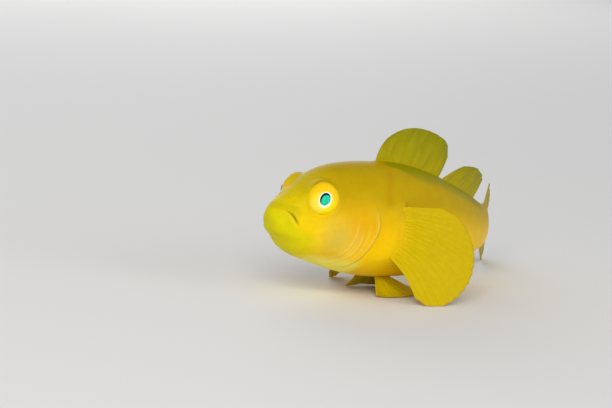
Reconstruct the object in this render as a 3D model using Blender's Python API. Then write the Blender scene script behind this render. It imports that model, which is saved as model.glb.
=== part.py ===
"""A yellow goby at life size, still, propped on its pelvic disc and pectoral fins.

The fish faces -X, its left side faces -Y and +Z is up. Lengths are worked out in
millimetres along the curved axis of the body (s runs from the snout to the tail, y to
the fish's left, z up from the axis) and turned into metres when a mesh is made.
"""

import math

import bmesh
import bpy
import numpy as np
from mathutils import Vector

# Driving dimensions, millimetres and degrees
MM = 0.001
GAP = 0.3
BODY_LENGTH = 32.0
HEAD_END = 9.3
TRUNK_END = 17.6
REAR_END = 25.2
BEND_FROM = 7.0
BEND_TO = 34.0
BEND = math.radians(48.0)
PITCH = math.radians(5.3)
FLOOR = -6.85
AXIS_REACH = 44.0

# Stations of the body: s, height above the axis, depth below it, half width,
# height of the widest place, squareness of the section
STATIONS = (
    (0.00, 0.00, 0.00, 0.00, 0.00, 2.20),
    (0.15, 0.33, 0.66, 0.66, -0.35, 2.00),
    (0.60, 0.92, 1.52, 1.34, -0.60, 2.00),
    (1.40, 1.60, 2.36, 2.05, -0.65, 2.05),
    (2.60, 2.75, 3.20, 2.66, -0.65, 2.15),
    (4.20, 3.94, 3.65, 3.16, -0.75, 2.10),
    (6.50, 4.67, 4.12, 3.72, -0.75, 2.15),
    (9.00, 5.00, 4.40, 3.95, -0.50, 2.20),
    (11.5, 5.10, 4.40, 3.75, -0.30, 2.15),
    (15.0, 4.75, 4.05, 3.20, -0.10, 2.10),
    (19.0, 3.90, 3.40, 2.45, 0.00, 2.00),
    (23.0, 3.00, 2.60, 1.75, 0.00, 2.00),
    (27.0, 2.30, 2.00, 1.20, 0.00, 2.00),
    (30.0, 2.05, 1.90, 0.85, 0.00, 2.00),
    (BODY_LENGTH, 2.10, 1.95, 0.60, 0.00, 2.00),
)

# Resolution of the solids
HEAD_RINGS = 40
HEAD_SIDES = 60
BODY_SIDES = 44
RING_STEP = 0.75
FIRST_RING = 0.09
CUTTER_SIDES = 40
NOSTRIL_SIDES = 12
SOCKET_SIDES = 28
EYE_SIDES = 20
SHARP = math.radians(40.0)

# Eyes
EYE_AT = (3.75, 1.80, 1.75)
EYE_RADIUS = 1.30
EYE_LOOK = (-0.40, 0.915, 0.03)
EYE_GAP = 0.15
LID_RADIUS = 1.57
LID_BLEND = 0.25
LID_CUT = 0.5
ORBIT_SLOPE = 0.6
ORBIT_REACH = 2.9
ORBIT_EASE = 0.8
DOME_BEHIND = 1.1
DOME_EASE = 0.9
LID_FRONT = 0.38
LID_RING = 1.46
LID_THICK = 0.125

# Mouth: an arch that is level in front and falls to the corners
MOUTH_TOP = 0.46
MOUTH_DROP = 0.98
MOUTH_HALF = 2.18
MOUTH_POWER = 5.0
MOUTH_FALL = 1.6
MOUTH_CORNER = 0.2
JAW_HINGE = 1.70
JAW_HINGE_HEIGHT = -0.35
JAW_SLOPE = 0.9
JAW_HALF = 2.95
JAW_DEPTH = -5.5
JAW_AHEAD = -2.0
JAW_STEPS = 37
LIP_OFFSET = 0.38
LIP_WIDTH = 0.28
LIP_HEIGHT = 0.12
LIP_BACK = (2.3, 0.9)
LIP_SIDE = (2.5, 0.6)

# Gill covers
COVER_AT = (6.55, -0.65)
COVER_RADII = (1.85, 2.85)
COVER_TILT = math.radians(14.0)
COVER_INNER = 2.45
COVER_LEAN = 0.2
COVER_OUTER = 6.0

# Nostrils: a short tube in front and a pore behind it on each side
NOSTRIL_FRONT = (1.55, 0.95)
NOSTRIL_REAR = (2.35, 0.80)
NOSTRIL_RADIUS = 0.2
NOSTRIL_BORE = 0.1
NOSTRIL_PORE = 0.14
NOSTRIL_HEIGHT = 0.14
NOSTRIL_ROOT = -0.4
NOSTRIL_DEPTH = -0.2
NOSTRIL_TAPER = 0.8
NOSTRIL_LEAN = (-0.35, 0.5, 0.87)

# Fins: half thickness of root, membrane and tip, rise of the rays, bows
FIN_ROOT = 0.42
FIN_HALF = 0.25
FIN_TIP = 0.12
RAY_RISE = 0.09
FIN_NOTCH = 0.04
FIN_BOW = 0.05
ROOT_SHARE = 0.3
TIP_SHARE = 0.45
RAY_FADE = 0.6
FIRST_DORSAL_BASE = (9.85, 17.3)
FIRST_DORSAL_TIPS = (
    (10.9, 2.25), (12.4, 3.0), (13.9, 3.33), (15.4, 3.45), (16.9, 3.38), (18.1, 3.05), (18.8, 2.4),
)
FIRST_DORSAL_BOW = 0.12
SECOND_DORSAL_BASE = (17.65, 24.6)
SECOND_DORSAL_SWEEP = (4.5, 4.0)
SECOND_DORSAL_BOW = 0.25
SECOND_DORSAL_HEIGHT = 2.25
SECOND_DORSAL_SWELL = (0.25, 0.5)
ANAL_BASE = (19.3, 24.6)
ANAL_SWEEP = 3.0
ANAL_HEIGHT = 1.15
ANAL_SWELL = (0.4, 0.25)
CAUDAL_MIDDLE = 0.1
CAUDAL_SPREAD = math.radians(21.0)
CAUDAL_ROOT = 1.8
CAUDAL_LENGTH = 7.6
CAUDAL_ROUND = 1.9
PECTORAL_AT = (9.75, 1.9)
PECTORAL_ROOT = 4.0
PECTORAL_ROOT_BOW = 0.35
PECTORAL_TOP = math.radians(-4.0)
PECTORAL_LOW = math.radians(62.0)
PECTORAL_LENGTH = 6.6
PECTORAL_EDGES = 0.7
PECTORAL_OUT = math.radians(11.0)
PECTORAL_OUT_LOW = math.radians(27.0)
PECTORAL_BOW = 0.11
PELVIC_AT = 11.2
PELVIC_SPREAD = math.radians(100.0)
PELVIC_ROOT = (0.5, 0.7)
PELVIC_LENGTH = (2.0, 5.4)
PELVIC_NARROW = 0.5

# Colours and finish of the materials: base colour, roughness
SKIN = ((0.66, 0.50, 0.02), 0.38)
SKIN_LOW = ((0.76, 0.52, 0.02), 0.38)
COVER_SKIN = ((0.70, 0.48, 0.04), 0.38)
FIN_SKIN = ((0.42, 0.36, 0.02), 0.42)
EYE_SHINE = ((0.80, 0.62, 0.06), 0.12)


def spline(x, y):
    """Return the natural cubic spline through the points as a function."""
    x = np.asarray(x, float)
    y = np.asarray(y, float)
    count = len(x)
    h = np.diff(x)
    system = np.eye(count)
    right = np.zeros(count)
    for i in range(1, count - 1):
        system[i, i - 1] = h[i - 1]
        system[i, i] = 2.0 * (h[i - 1] + h[i])
        system[i, i + 1] = h[i]
        right[i] = 6.0 * ((y[i + 1] - y[i]) / h[i] - (y[i] - y[i - 1]) / h[i - 1])
    bends = np.linalg.solve(system, right)

    def curve(q):
        q = np.asarray(q, float)
        i = np.clip(np.searchsorted(x, q) - 1, 0, count - 2)
        a = (x[i + 1] - q) / h[i]
        b = (q - x[i]) / h[i]
        cubic = (a**3 - a) * bends[i] + (b**3 - b) * bends[i + 1]
        return a * y[i] + b * y[i + 1] + cubic * h[i] ** 2 / 6.0

    return curve


# The stations are joined along the root of s, which keeps the snout round
ROOTS = [math.sqrt(row[0]) for row in STATIONS]
TOP, BOTTOM, HALF, WIDEST, POWER = (
    spline(ROOTS, [row[k] for row in STATIONS]) for k in range(1, 6)
)


def ease(t):
    """Run smoothly from 0 to 1."""
    t = np.clip(t, 0.0, 1.0)
    return t * t * (3.0 - 2.0 * t)


def heading(s):
    """Turn of the body's axis to its right at s."""
    return BEND * ease((s - BEND_FROM) / (BEND_TO - BEND_FROM))


def running_sum(values, steps):
    """Integrate values over the steps by the trapezium rule."""
    return np.concatenate([[0.0], np.cumsum((values[1:] + values[:-1]) / 2.0 * steps)])


AXIS_S = np.linspace(0.0, AXIS_REACH, 800)
AXIS_X = running_sum(np.cos(heading(AXIS_S)), np.diff(AXIS_S))
AXIS_Y = running_sum(np.sin(heading(AXIS_S)), np.diff(AXIS_S))


def axis_frame(s):
    """Return the axis point and the directions back, left and up at s."""
    s = np.asarray(s, float)
    turn = heading(s)
    level = math.cos(PITCH)
    fall = math.sin(PITCH)
    x = np.interp(s, AXIS_S, AXIS_X) * level
    y = np.interp(s, AXIS_S, AXIS_Y) * level
    point = np.stack([x, y, -fall * s], -1)
    back = np.stack([np.cos(turn) * level, np.sin(turn) * level, -fall * np.ones_like(turn)], -1)
    left = np.stack([np.sin(turn), -np.cos(turn), np.zeros_like(turn)], -1)
    return point, back, left, -np.cross(back, left)


def to_world(local):
    """Turn places along the body (s, y, z) into world places, in millimetres."""
    local = np.asarray(local, float)
    point, _, left, up = axis_frame(local[..., 0])
    return point + left * local[..., 1:2] + up * local[..., 2:3]


def section(s, angle):
    """Plain section of the body: place on the skin at s, angle 0 is left, 90 is up."""
    root = np.sqrt(np.maximum(s, 0.0))
    power = 2.0 / POWER(root)
    cosine = np.cos(angle)
    sine = np.sin(angle)
    widest = WIDEST(root)
    height = np.where(sine >= 0.0, TOP(root) - widest, BOTTOM(root) + widest)
    y = HALF(root) * np.sign(cosine) * np.abs(cosine) ** power
    z = widest + height * np.sign(sine) * np.abs(sine) ** power
    return np.stack([s, y, z], -1)


def soft_max(a, b, width):
    """Larger of two values, with the change from one to the other rounded."""
    blend = np.clip(0.5 + 0.5 * (a - b) / width, 0.0, 1.0)
    return b + (a - b) * blend + width * blend * (1.0 - blend)


def mouth_line(y):
    """Height of the mouth's line across the snout, and of the jaw's edge past its corners."""
    share = np.abs(y) / MOUTH_HALF
    arch = MOUTH_TOP - MOUTH_DROP * share**MOUTH_POWER
    edge = MOUTH_TOP - MOUTH_DROP - MOUTH_FALL * np.maximum(share - 1.0, 0.0)
    return soft_max(arch, edge, MOUTH_CORNER)


def bump(distance, width):
    """Return a round bump, 1 at distance 0."""
    return np.exp(-((distance / width) ** 2))


def lip_relief(place):
    """Height of the lips over the plain skin."""
    share = np.minimum(np.abs(place[..., 1]) / MOUTH_HALF, 1.0)
    slope = MOUTH_DROP * MOUTH_POWER / MOUTH_HALF * share ** (MOUTH_POWER - 1.0)
    off = (place[..., 2] - mouth_line(place[..., 1])) / np.sqrt(1.0 + slope**2)
    lips = bump(off - LIP_OFFSET, LIP_WIDTH) + bump(off + LIP_OFFSET, LIP_WIDTH)
    back = ease((LIP_BACK[0] - place[..., 0]) / LIP_BACK[1])
    return LIP_HEIGHT * lips * back * ease((LIP_SIDE[0] - np.abs(place[..., 1])) / LIP_SIDE[1])


def shape_orbits(place):
    """Push the skin out to a dome round each eye, and in where it would cover the eye."""
    place = place.copy()
    for side in (1.0, -1.0):
        centre = np.array(EYE_AT) * (1.0, side, 1.0)
        look = np.array(EYE_LOOK) * (1.0, side, 1.0)
        look /= np.linalg.norm(look)
        arm = place - centre
        length = np.linalg.norm(arm, axis=-1)
        hold = ease((arm @ look + DOME_BEHIND) / DOME_EASE)
        push = (soft_max(length, LID_RADIUS, LID_BLEND) - length) * hold
        place += arm / length[..., None] * push[..., None]
        arm = place - centre
        ahead = arm @ look
        aside = np.linalg.norm(arm - ahead[..., None] * look, axis=-1)
        rim = LID_CUT + ORBIT_SLOPE * np.maximum(aside - LID_RING, 0.0)
        sunk = -soft_max(-ahead, -rim, LID_BLEND)
        near = ease((ORBIT_REACH - aside) / ORBIT_EASE) * (ahead > 0.0)
        place -= look * ((ahead - sunk) * near)[..., None]
    return place


def skin(s, angle):
    """Skin with lips and lids over a grid of rings (s) and sides (angle)."""
    s, angle = np.meshgrid(s, angle, indexing="ij")
    place = section(s, angle)
    around = np.roll(place, -1, 1) - np.roll(place, 1, 1)
    along = np.gradient(place, axis=0)
    out = np.cross(around, along)
    out /= np.linalg.norm(out, axis=-1)[..., None]
    return shape_orbits(place + out * lip_relief(place)[..., None])


def new_material(name, colour, roughness):
    """Make a plain painted material."""
    material = bpy.data.materials.new(name)
    material.use_nodes = True
    shader = material.node_tree.nodes["Principled BSDF"]
    shader.inputs["Base Color"].default_value = (*colour, 1.0)
    shader.inputs["Roughness"].default_value = roughness
    shader.inputs["Metallic"].default_value = 0.0
    material.diffuse_color = (*colour, 1.0)
    return material


def new_object(name, points, faces, collection, finish=None):
    """Make a mesh object from points in millimetres, with its faces turned out."""
    mesh = bpy.data.meshes.new(name)
    mesh.from_pydata([tuple(np.asarray(p) * MM) for p in points], [], faces)
    shape = bmesh.new()
    shape.from_mesh(mesh)
    bmesh.ops.recalc_face_normals(shape, faces=shape.faces)
    shape.to_mesh(mesh)
    shape.free()
    thing = bpy.data.objects.new(name, mesh)
    collection.objects.link(thing)
    if finish is None:
        thing.hide_render = True
        thing.display_type = "WIRE"
    else:
        mesh.materials.append(new_material(name + "_skin", *finish))
        mesh.shade_smooth()
        mesh.set_sharp_from_angle(angle=SHARP)
    return thing


def tube_faces(rings, sides):
    """Faces of a closed tube of rings, with a fan at each end; the fans' hubs come last."""
    faces = []
    for i in range(rings - 1):
        for j in range(sides):
            k = (j + 1) % sides
            faces.append((i * sides + j, i * sides + k, (i + 1) * sides + k, (i + 1) * sides + j))
    front = rings * sides
    for j in range(sides):
        k = (j + 1) % sides
        faces.append((front, k, j))
        faces.append((front + 1, (rings - 1) * sides + j, (rings - 1) * sides + k))
    return faces


def loft(name, s, sides, tip, collection, finish):
    """Closed length of the body through the rings at s, its front fan drawn to tip."""
    angle = np.linspace(0.0, 2.0 * math.pi, sides, endpoint=False)
    place = skin(s, angle)
    hubs = np.array([[tip, 0.0, 0.0], [s[-1], 0.0, 0.0]])
    points = np.concatenate([to_world(place.reshape(-1, 3)), to_world(hubs)])
    return new_object(name, points, tube_faces(len(s), sides), collection, finish)


def largest_surface(mesh):
    """Keep only the largest closed surface of a mesh."""
    shape = bmesh.new()
    shape.from_mesh(mesh)
    left = set(shape.faces)
    groups = []
    while left:
        stack = [left.pop()]
        group = []
        while stack:
            face = stack.pop()
            group.append(face)
            for edge in face.edges:
                for other in edge.link_faces:
                    if other in left:
                        left.remove(other)
                        stack.append(other)
        groups.append(group)
    groups.sort(key=lambda g: sum(f.calc_area() for f in g))
    for group in groups[:-1]:
        bmesh.ops.delete(shape, geom=group, context="FACES")
    shape.to_mesh(mesh)
    shape.free()


def carve(thing, steps):
    """Apply Boolean steps (operation, cutter) to an object, largest surface kept."""
    for operation, cutter in steps:
        modifier = thing.modifiers.new(cutter.name, "BOOLEAN")
        modifier.operation = operation
        modifier.solver = "EXACT"
        modifier.object = cutter
    bpy.context.view_layer.update()
    ready = thing.evaluated_get(bpy.context.evaluated_depsgraph_get())
    mesh = bpy.data.meshes.new_from_object(ready)
    thing.modifiers.clear()
    thing.data = mesh
    largest_surface(mesh)
    mesh.shade_smooth()
    mesh.set_sharp_from_angle(angle=SHARP)


def jaw_block(name, grow, collection):
    """Region of the lower jaw: under the mouth's line and before the jaw's hinge."""
    across = np.linspace(-JAW_HALF, JAW_HALF, JAW_STEPS)
    hinge = JAW_HINGE - GAP / 2.0 + grow * math.hypot(1.0, JAW_SLOPE)
    points = []
    for y in across:
        top = mouth_line(y) - GAP / 2.0 + grow
        points.append((JAW_AHEAD, y, top))
        points.append((hinge - JAW_SLOPE * (top - JAW_HINGE_HEIGHT), y, top))
        points.append((hinge - JAW_SLOPE * (JAW_DEPTH - JAW_HINGE_HEIGHT), y, JAW_DEPTH))
        points.append((JAW_AHEAD, y, JAW_DEPTH))
    for y in (across[0], across[-1]):
        points.append((JAW_AHEAD, y, 0.5 * (mouth_line(y) + JAW_DEPTH)))
    return new_object(name, to_world(points), tube_faces(len(across), 4), collection)


def cover_block(name, side, grow, collection):
    """Region of one gill cover: an oval prism from a leaning inner face outwards."""
    turn = np.linspace(0.0, 2.0 * math.pi, CUTTER_SIDES, endpoint=False)
    a = (COVER_RADII[0] + grow) * np.cos(turn)
    b = (COVER_RADII[1] + grow) * np.sin(turn)
    s = COVER_AT[0] + a * math.cos(COVER_TILT) + b * math.sin(COVER_TILT)
    z = COVER_AT[1] - a * math.sin(COVER_TILT) + b * math.cos(COVER_TILT)
    s = np.append(s, COVER_AT[0])
    z = np.append(z, COVER_AT[1])
    inner = np.stack([s, COVER_INNER - grow + COVER_LEAN * z, z], -1)
    outer = np.stack([s, np.full_like(s, COVER_OUTER), z], -1)
    points = np.concatenate([inner[:-1], outer[:-1], inner[-1:], outer[-1:]]) * (1.0, side, 1.0)
    return new_object(name, to_world(points), tube_faces(2, CUTTER_SIDES), collection)


def adopt(thing, name, collection, finish=None):
    """Name a new primitive, move it to its collection and give it its finish."""
    thing.name = name
    thing.data.name = name
    for owner in list(thing.users_collection):
        owner.objects.unlink(thing)
    collection.objects.link(thing)
    thing.data.shade_smooth()
    if finish is None:
        thing.hide_render = True
        thing.display_type = "WIRE"
    else:
        thing.data.materials.append(new_material(name + "_skin", *finish))
    return thing


def ball(name, side, radius, segments, collection, finish=None):
    """Sphere at an eye's place."""
    centre = to_world(np.array(EYE_AT) * (1.0, side, 1.0))
    bpy.ops.mesh.primitive_uv_sphere_add(
        segments=segments, ring_count=segments * 2 // 3, radius=radius * MM, location=centre * MM
    )
    return adopt(bpy.context.object, name, collection, finish)


def lid_ring(name, side, collection):
    """Rim of the lids: a ring round the eye, sunk in the dome of skin."""
    look = np.array(EYE_LOOK) / np.linalg.norm(EYE_LOOK)
    mirror = np.array((1.0, side, 1.0))
    centre = to_world((np.array(EYE_AT) + look * LID_FRONT) * mirror)
    axis = centre - to_world(np.array(EYE_AT) * mirror)
    bpy.ops.mesh.primitive_torus_add(
        major_segments=36, minor_segments=10, major_radius=LID_RING * MM,
        minor_radius=LID_THICK * MM, location=centre * MM,
        rotation=Vector(axis).to_track_quat("Z", "Y").to_euler(),
    )
    return adopt(bpy.context.object, name, collection)


def stub(name, at, side, radius, low, high, turn, collection):
    """Short tapered peg out of the skin of the snout, for a nostril's tube, bore or pore."""
    s, y = at
    ring = turn + np.linspace(0.0, 2.0 * math.pi, NOSTRIL_SIDES, endpoint=False)
    root = math.sqrt(s)
    power = POWER(root)
    widest = WIDEST(root)
    rise = (1.0 - (y / HALF(root)) ** power) ** (1.0 / power)
    centre = np.array([s, y, widest + (TOP(root) - widest) * rise])
    out = np.array(NOSTRIL_LEAN) / np.linalg.norm(NOSTRIL_LEAN)
    first = np.cross(out, (1.0, 0.0, 0.0))
    first /= np.linalg.norm(first)
    second = np.cross(out, first)
    circle = radius * (np.cos(ring)[:, None] * first + np.sin(ring)[:, None] * second)
    points = [centre + out * low + circle, centre + out * high + circle * NOSTRIL_TAPER]
    points.append(np.array([centre + out * low, centre + out * high]))
    local = np.concatenate(points) * (1.0, side, 1.0)
    return new_object(name, to_world(local), tube_faces(2, NOSTRIL_SIDES), collection)


def plate(name, middle, half, collection, finish, floor=None):
    """Fin of columns (rays and the folds of membrane between them) and rows, base to tip.

    middle holds the world places of the fin's middle sheet and half its half thickness.
    Both faces are split into the same triangles.
    """
    columns, rows = half.shape
    across = np.gradient(middle, axis=0)
    along = np.gradient(middle, axis=1)
    normal = np.cross(across, along)
    normal /= np.linalg.norm(normal, axis=-1)[..., None]
    faces_of = [middle + normal * half[..., None], middle - normal * half[..., None]]
    points = np.concatenate([f.reshape(-1, 3) for f in faces_of])
    if floor is not None:
        points[:, 2] = np.maximum(points[:, 2], floor)
    count = columns * rows
    faces = []
    for i in range(columns - 1):
        for j in range(rows - 1):
            a = i * rows + j
            b = a + rows
            if (i // 2 + j) % 2:
                split = [(a, b, b + 1), (a, b + 1, a + 1)]
            else:
                split = [(a, b, a + 1), (b, b + 1, a + 1)]
            for face in split:
                faces.append(face)
                faces.append(tuple(count + v for v in reversed(face)))
    border = [(i, 0) for i in range(columns)]
    border += [(columns - 1, j) for j in range(1, rows)]
    border += [(i, rows - 1) for i in range(columns - 2, -1, -1)]
    border += [(0, j) for j in range(rows - 2, 0, -1)]
    for (i, j), (k, m) in zip(border, border[1:] + border[:1]):
        a = i * rows + j
        b = k * rows + m
        faces.append((a, count + a, b))
        faces.append((b, count + a, count + b))
    return new_object(name, points, faces, collection, finish)


def fin_sheet(path, rays, rows):
    """Middle sheet of a fin from path(q, t): q runs over the rays, t from base to tip.

    Columns alternate between rays and folds of membrane, which stop short of the rays'
    tips. Also returns how far each column is off its ray, and t.
    """
    q = np.linspace(0.0, 1.0, 2 * rays - 1)
    off = (np.arange(2 * rays - 1) % 2).astype(float)
    t = np.linspace(0.0, 1.0, rows)
    reach = 1.0 - FIN_NOTCH * off
    share = t[None, :] * reach[:, None]
    sheet = path(np.broadcast_to(q[:, None], share.shape), share)
    return to_world(sheet), off, np.broadcast_to(t, share.shape)


def thickness(off, t):
    """Half thickness of a fin: thick root, even body, thin tip, and raised rays."""
    plain = FIN_HALF + (FIN_ROOT - FIN_HALF) * ease(1.0 - t / ROOT_SHARE)
    plain = plain + (FIN_TIP - plain) * ease((t - 1.0 + TIP_SHARE) / TIP_SHARE)
    return plain + RAY_RISE * (1.0 - off)[:, None] * (1.0 - RAY_FADE * t)


def body_lengths(collection):
    """Trunk, rear body and tail stalk, which meet across the gap."""
    spans = {
        "trunk": (HEAD_END, TRUNK_END, SKIN),
        "rear_body": (TRUNK_END, REAR_END, SKIN),
        "tail_stalk": (REAR_END, BODY_LENGTH, SKIN_LOW),
    }
    for name, (start, end, finish) in spans.items():
        s = np.linspace(start + GAP / 2.0, end - GAP / 2.0, round((end - start) / RING_STEP) + 1)
        loft(name, s, BODY_SIDES, s[0], collection, finish)


def head_parts(collection, cutters):
    """Head with its sockets, jaw and gill covers."""
    s = np.linspace(FIRST_RING, math.sqrt(HEAD_END - GAP / 2.0), HEAD_RINGS) ** 2
    head = loft("head", s, HEAD_SIDES, 0.0, collection, SKIN)
    jaw = loft("lower_jaw", s, HEAD_SIDES, 0.0, collection, SKIN_LOW)
    carve(jaw, [("INTERSECT", jaw_block("jaw_region", 0.0, cutters))])
    steps = [("DIFFERENCE", jaw_block("jaw_space", GAP, cutters))]
    for side, word in ((1.0, "left"), (-1.0, "right")):
        cover = loft("gill_cover_" + word, s, HEAD_SIDES, 0.0, collection, COVER_SKIN)
        carve(cover, [("INTERSECT", cover_block("cover_region_" + word, side, 0.0, cutters))])
        steps.append(("DIFFERENCE", cover_block("cover_space_" + word, side, GAP, cutters)))
        steps.append(("UNION", lid_ring("lid_" + word, side, cutters)))
        socket = ball("socket_" + word, side, EYE_RADIUS + EYE_GAP, SOCKET_SIDES, cutters)
        steps.append(("DIFFERENCE", socket))
        ball("eye_" + word, side, EYE_RADIUS, EYE_SIDES, collection, EYE_SHINE)
        over = NOSTRIL_HEIGHT + GAP
        half_turn = math.pi / NOSTRIL_SIDES
        for kind, operation, at, radius, low, high, turn in (
            ("tube", "UNION", NOSTRIL_FRONT, NOSTRIL_RADIUS, NOSTRIL_ROOT, NOSTRIL_HEIGHT, 0.0),
            ("bore", "DIFFERENCE", NOSTRIL_FRONT, NOSTRIL_BORE, NOSTRIL_DEPTH, over, half_turn),
            ("pore", "DIFFERENCE", NOSTRIL_REAR, NOSTRIL_PORE, NOSTRIL_DEPTH, over, half_turn),
        ):
            peg = stub(f"nostril_{kind}_{word}", at, side, radius, low, high, turn, cutters)
            steps.append((operation, peg))
    carve(head, steps)


def make_fin(name, path, rays, rows, collection, floor=None):
    """Fin with raised rays over the sheet that path describes."""
    middle, off, t = fin_sheet(path, rays, rows)
    plate(name, middle, thickness(off, t), collection, FIN_SKIN, floor)


def floor_at(s):
    """Height of the floor off the axis at s."""
    return (FLOOR + math.sin(PITCH) * s) / math.cos(PITCH)


def end_on_floor(length, s, z, angle):
    """Shorten rays that leave s, z down at angle so that they end on the floor."""
    fall = np.sin(angle) * math.cos(PITCH) + np.cos(angle) * math.sin(PITCH)
    height = (z - floor_at(s)) * math.cos(PITCH)
    return np.where(fall > 0.2, np.minimum(length, height / np.maximum(fall, 0.2)), length)


def upright(s, z):
    """Places on the fish's middle plane."""
    return np.stack([s, np.zeros_like(s), z], -1)


def edge_of(curve, s):
    """Height of the body's upper or lower edge at s."""
    return curve(np.sqrt(np.minimum(s, BODY_LENGTH)))


def first_dorsal_path(q, t):
    """Six spines and the membrane's rear edge, bowed forward, round in outline."""
    base = FIRST_DORSAL_BASE[0] + (FIRST_DORSAL_BASE[1] - FIRST_DORSAL_BASE[0]) * q
    share = np.linspace(0.0, 1.0, len(FIRST_DORSAL_TIPS))
    tip = spline(share, [p[0] for p in FIRST_DORSAL_TIPS])(q)
    height = spline(share, [p[1] for p in FIRST_DORSAL_TIPS])(q)
    z = edge_of(TOP, base) + GAP
    end = edge_of(TOP, tip) + height
    bow = 4.0 * FIRST_DORSAL_BOW * (1.0 - 0.75 * q) * t * (1.0 - t)
    s = base + (tip - base) * t - bow * (end - z)
    return upright(s, z + (end - z) * t + bow * (tip - base))


def second_dorsal_path(q, t):
    """A spine and nine rays, laid back, the middle ones longest, the spine bowed."""
    base = SECOND_DORSAL_BASE[0] + (SECOND_DORSAL_BASE[1] - SECOND_DORSAL_BASE[0]) * q
    swell = np.sin(math.pi * q)
    sweep = SECOND_DORSAL_SWEEP[0] + (SECOND_DORSAL_SWEEP[1] - SECOND_DORSAL_SWEEP[0]) * q
    tip = base + sweep + SECOND_DORSAL_SWELL[0] * swell
    height = SECOND_DORSAL_HEIGHT + SECOND_DORSAL_SWELL[1] * swell
    z = edge_of(TOP, base) + GAP
    end = edge_of(TOP, tip) + height
    bow = 4.0 * SECOND_DORSAL_BOW * (1.0 - 0.7 * q) * t * (1.0 - t)
    return upright(base + (tip - base) * t, z + (end - z) * t + bow)


def anal_path(q, t):
    """A spine and seven rays, laid back under the belly."""
    base = ANAL_BASE[0] + (ANAL_BASE[1] - ANAL_BASE[0]) * q
    tip = base + ANAL_SWEEP + ANAL_SWELL[0] * q
    height = ANAL_HEIGHT + ANAL_SWELL[1] * np.sin(math.pi * q)
    z = -edge_of(BOTTOM, base) - GAP
    end = -edge_of(BOTTOM, tip) - height
    return upright(base + (tip - base) * t, z + (end - z) * t - 4.0 * FIN_BOW * t * (1.0 - t))


def caudal_path(q, t):
    """Thirteen main rays of the rounded tail fin, its lower edge on the floor."""
    share = 2.0 * q - 1.0
    angle = CAUDAL_SPREAD * share
    base_s = BODY_LENGTH + GAP / 2.0
    base_z = CAUDAL_MIDDLE + CAUDAL_ROOT * share
    length = CAUDAL_LENGTH - CAUDAL_ROUND * np.abs(share) ** 3
    length = end_on_floor(length, base_s, base_z, -angle)
    return upright(base_s + length * np.cos(angle) * t, base_z + length * np.sin(angle) * t)


def flank(s, z):
    """Distance of the skin from the middle plane at s and z, on the flank."""
    root = np.sqrt(s)
    middle = WIDEST(root)
    reach = np.where(z >= middle, TOP(root) - middle, BOTTOM(root) + middle)
    drop = np.clip(np.abs(z - middle) / reach, 0.0, 0.99)
    return HALF(root) * (1.0 - drop ** POWER(root)) ** (1.0 / POWER(root))


def pectoral_path(q, t):
    """Rays leave the flank nearly level and bend down to a fan, more so the lower ones."""
    base_s = PECTORAL_AT[0] + PECTORAL_ROOT_BOW * np.sin(math.pi * q)
    base_z = PECTORAL_AT[1] - PECTORAL_ROOT * q
    angle = PECTORAL_TOP + (PECTORAL_LOW - PECTORAL_TOP) * q
    round_edge = PECTORAL_EDGES + (1.0 - PECTORAL_EDGES) * np.sin(math.pi * q**0.85)
    length = PECTORAL_LENGTH * round_edge
    length = end_on_floor(length, base_s, base_z, angle)
    bow = 4.0 * PECTORAL_BOW * ease(q / 0.5) * t * (1.0 - t)
    s = base_s + length * (np.cos(angle) * t + np.sin(angle) * bow)
    z = base_z - length * (np.sin(angle) * t - np.cos(angle) * bow)
    start = flank(base_s, base_z) + GAP + FIN_ROOT
    out = PECTORAL_OUT + (PECTORAL_OUT_LOW - PECTORAL_OUT) * q
    return np.stack([s, start + length * np.sin(out) * t**1.5, z], -1)


def pelvic_path(q, t):
    """Fused pelvic fins: rays radiate from a root under the belly to a rim on the floor."""
    angle = PELVIC_SPREAD * (2.0 * q - 1.0)
    reach = np.cos(angle / 2.0) ** 2
    length = PELVIC_LENGTH[0] + (PELVIC_LENGTH[1] - PELVIC_LENGTH[0]) * reach
    s = PELVIC_AT + (PELVIC_ROOT[0] + length * t) * np.cos(angle)
    y = (PELVIC_ROOT[1] + PELVIC_NARROW * length * t) * np.sin(angle)
    root = -edge_of(BOTTOM, PELVIC_AT) - GAP - FIN_ROOT
    rim = floor_at(s) + FIN_TIP
    return np.stack([s, y, root + (rim - root) * ease(t)], -1)


def fins(collection):
    """All fins."""
    make_fin("first_dorsal_fin", first_dorsal_path, 7, 8, collection)
    make_fin("second_dorsal_fin", second_dorsal_path, 10, 7, collection)
    make_fin("anal_fin", anal_path, 8, 6, collection)
    make_fin("caudal_fin", caudal_path, 13, 8, collection, FLOOR)
    make_fin("pelvic_disc", pelvic_path, 11, 7, collection, FLOOR)
    for side, word in ((1.0, "left"), (-1.0, "right")):
        path = lambda q, t, side=side: pectoral_path(q, t) * (1.0, side, 1.0)
        make_fin("pectoral_fin_" + word, path, 15, 8, collection, FLOOR)


def settle(collection):
    """Put the origin at the middle of the fish's box, on the floor."""
    things = list(collection.objects)
    corners = np.array([t.matrix_world @ v.co for t in things for v in t.data.vertices])
    low = corners.min(0)
    high = corners.max(0)
    shift = Vector(((low[0] + high[0]) / 2.0, (low[1] + high[1]) / 2.0, low[2]))
    for thing in things:
        thing.location -= shift


def main():
    """Clear the scene and build the fish."""
    for thing in list(bpy.data.objects):
        bpy.data.objects.remove(thing)
    fish = bpy.data.collections.new("yellow_goby")
    cutters = bpy.data.collections.new("cutters")
    bpy.context.scene.collection.children.link(fish)
    bpy.context.scene.collection.children.link(cutters)
    head_parts(fish, cutters)
    body_lengths(fish)
    fins(fish)
    settle(fish)


main()
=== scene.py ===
import math

import bmesh
import bpy
import numpy as np
from mathutils import Matrix, Vector


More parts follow.
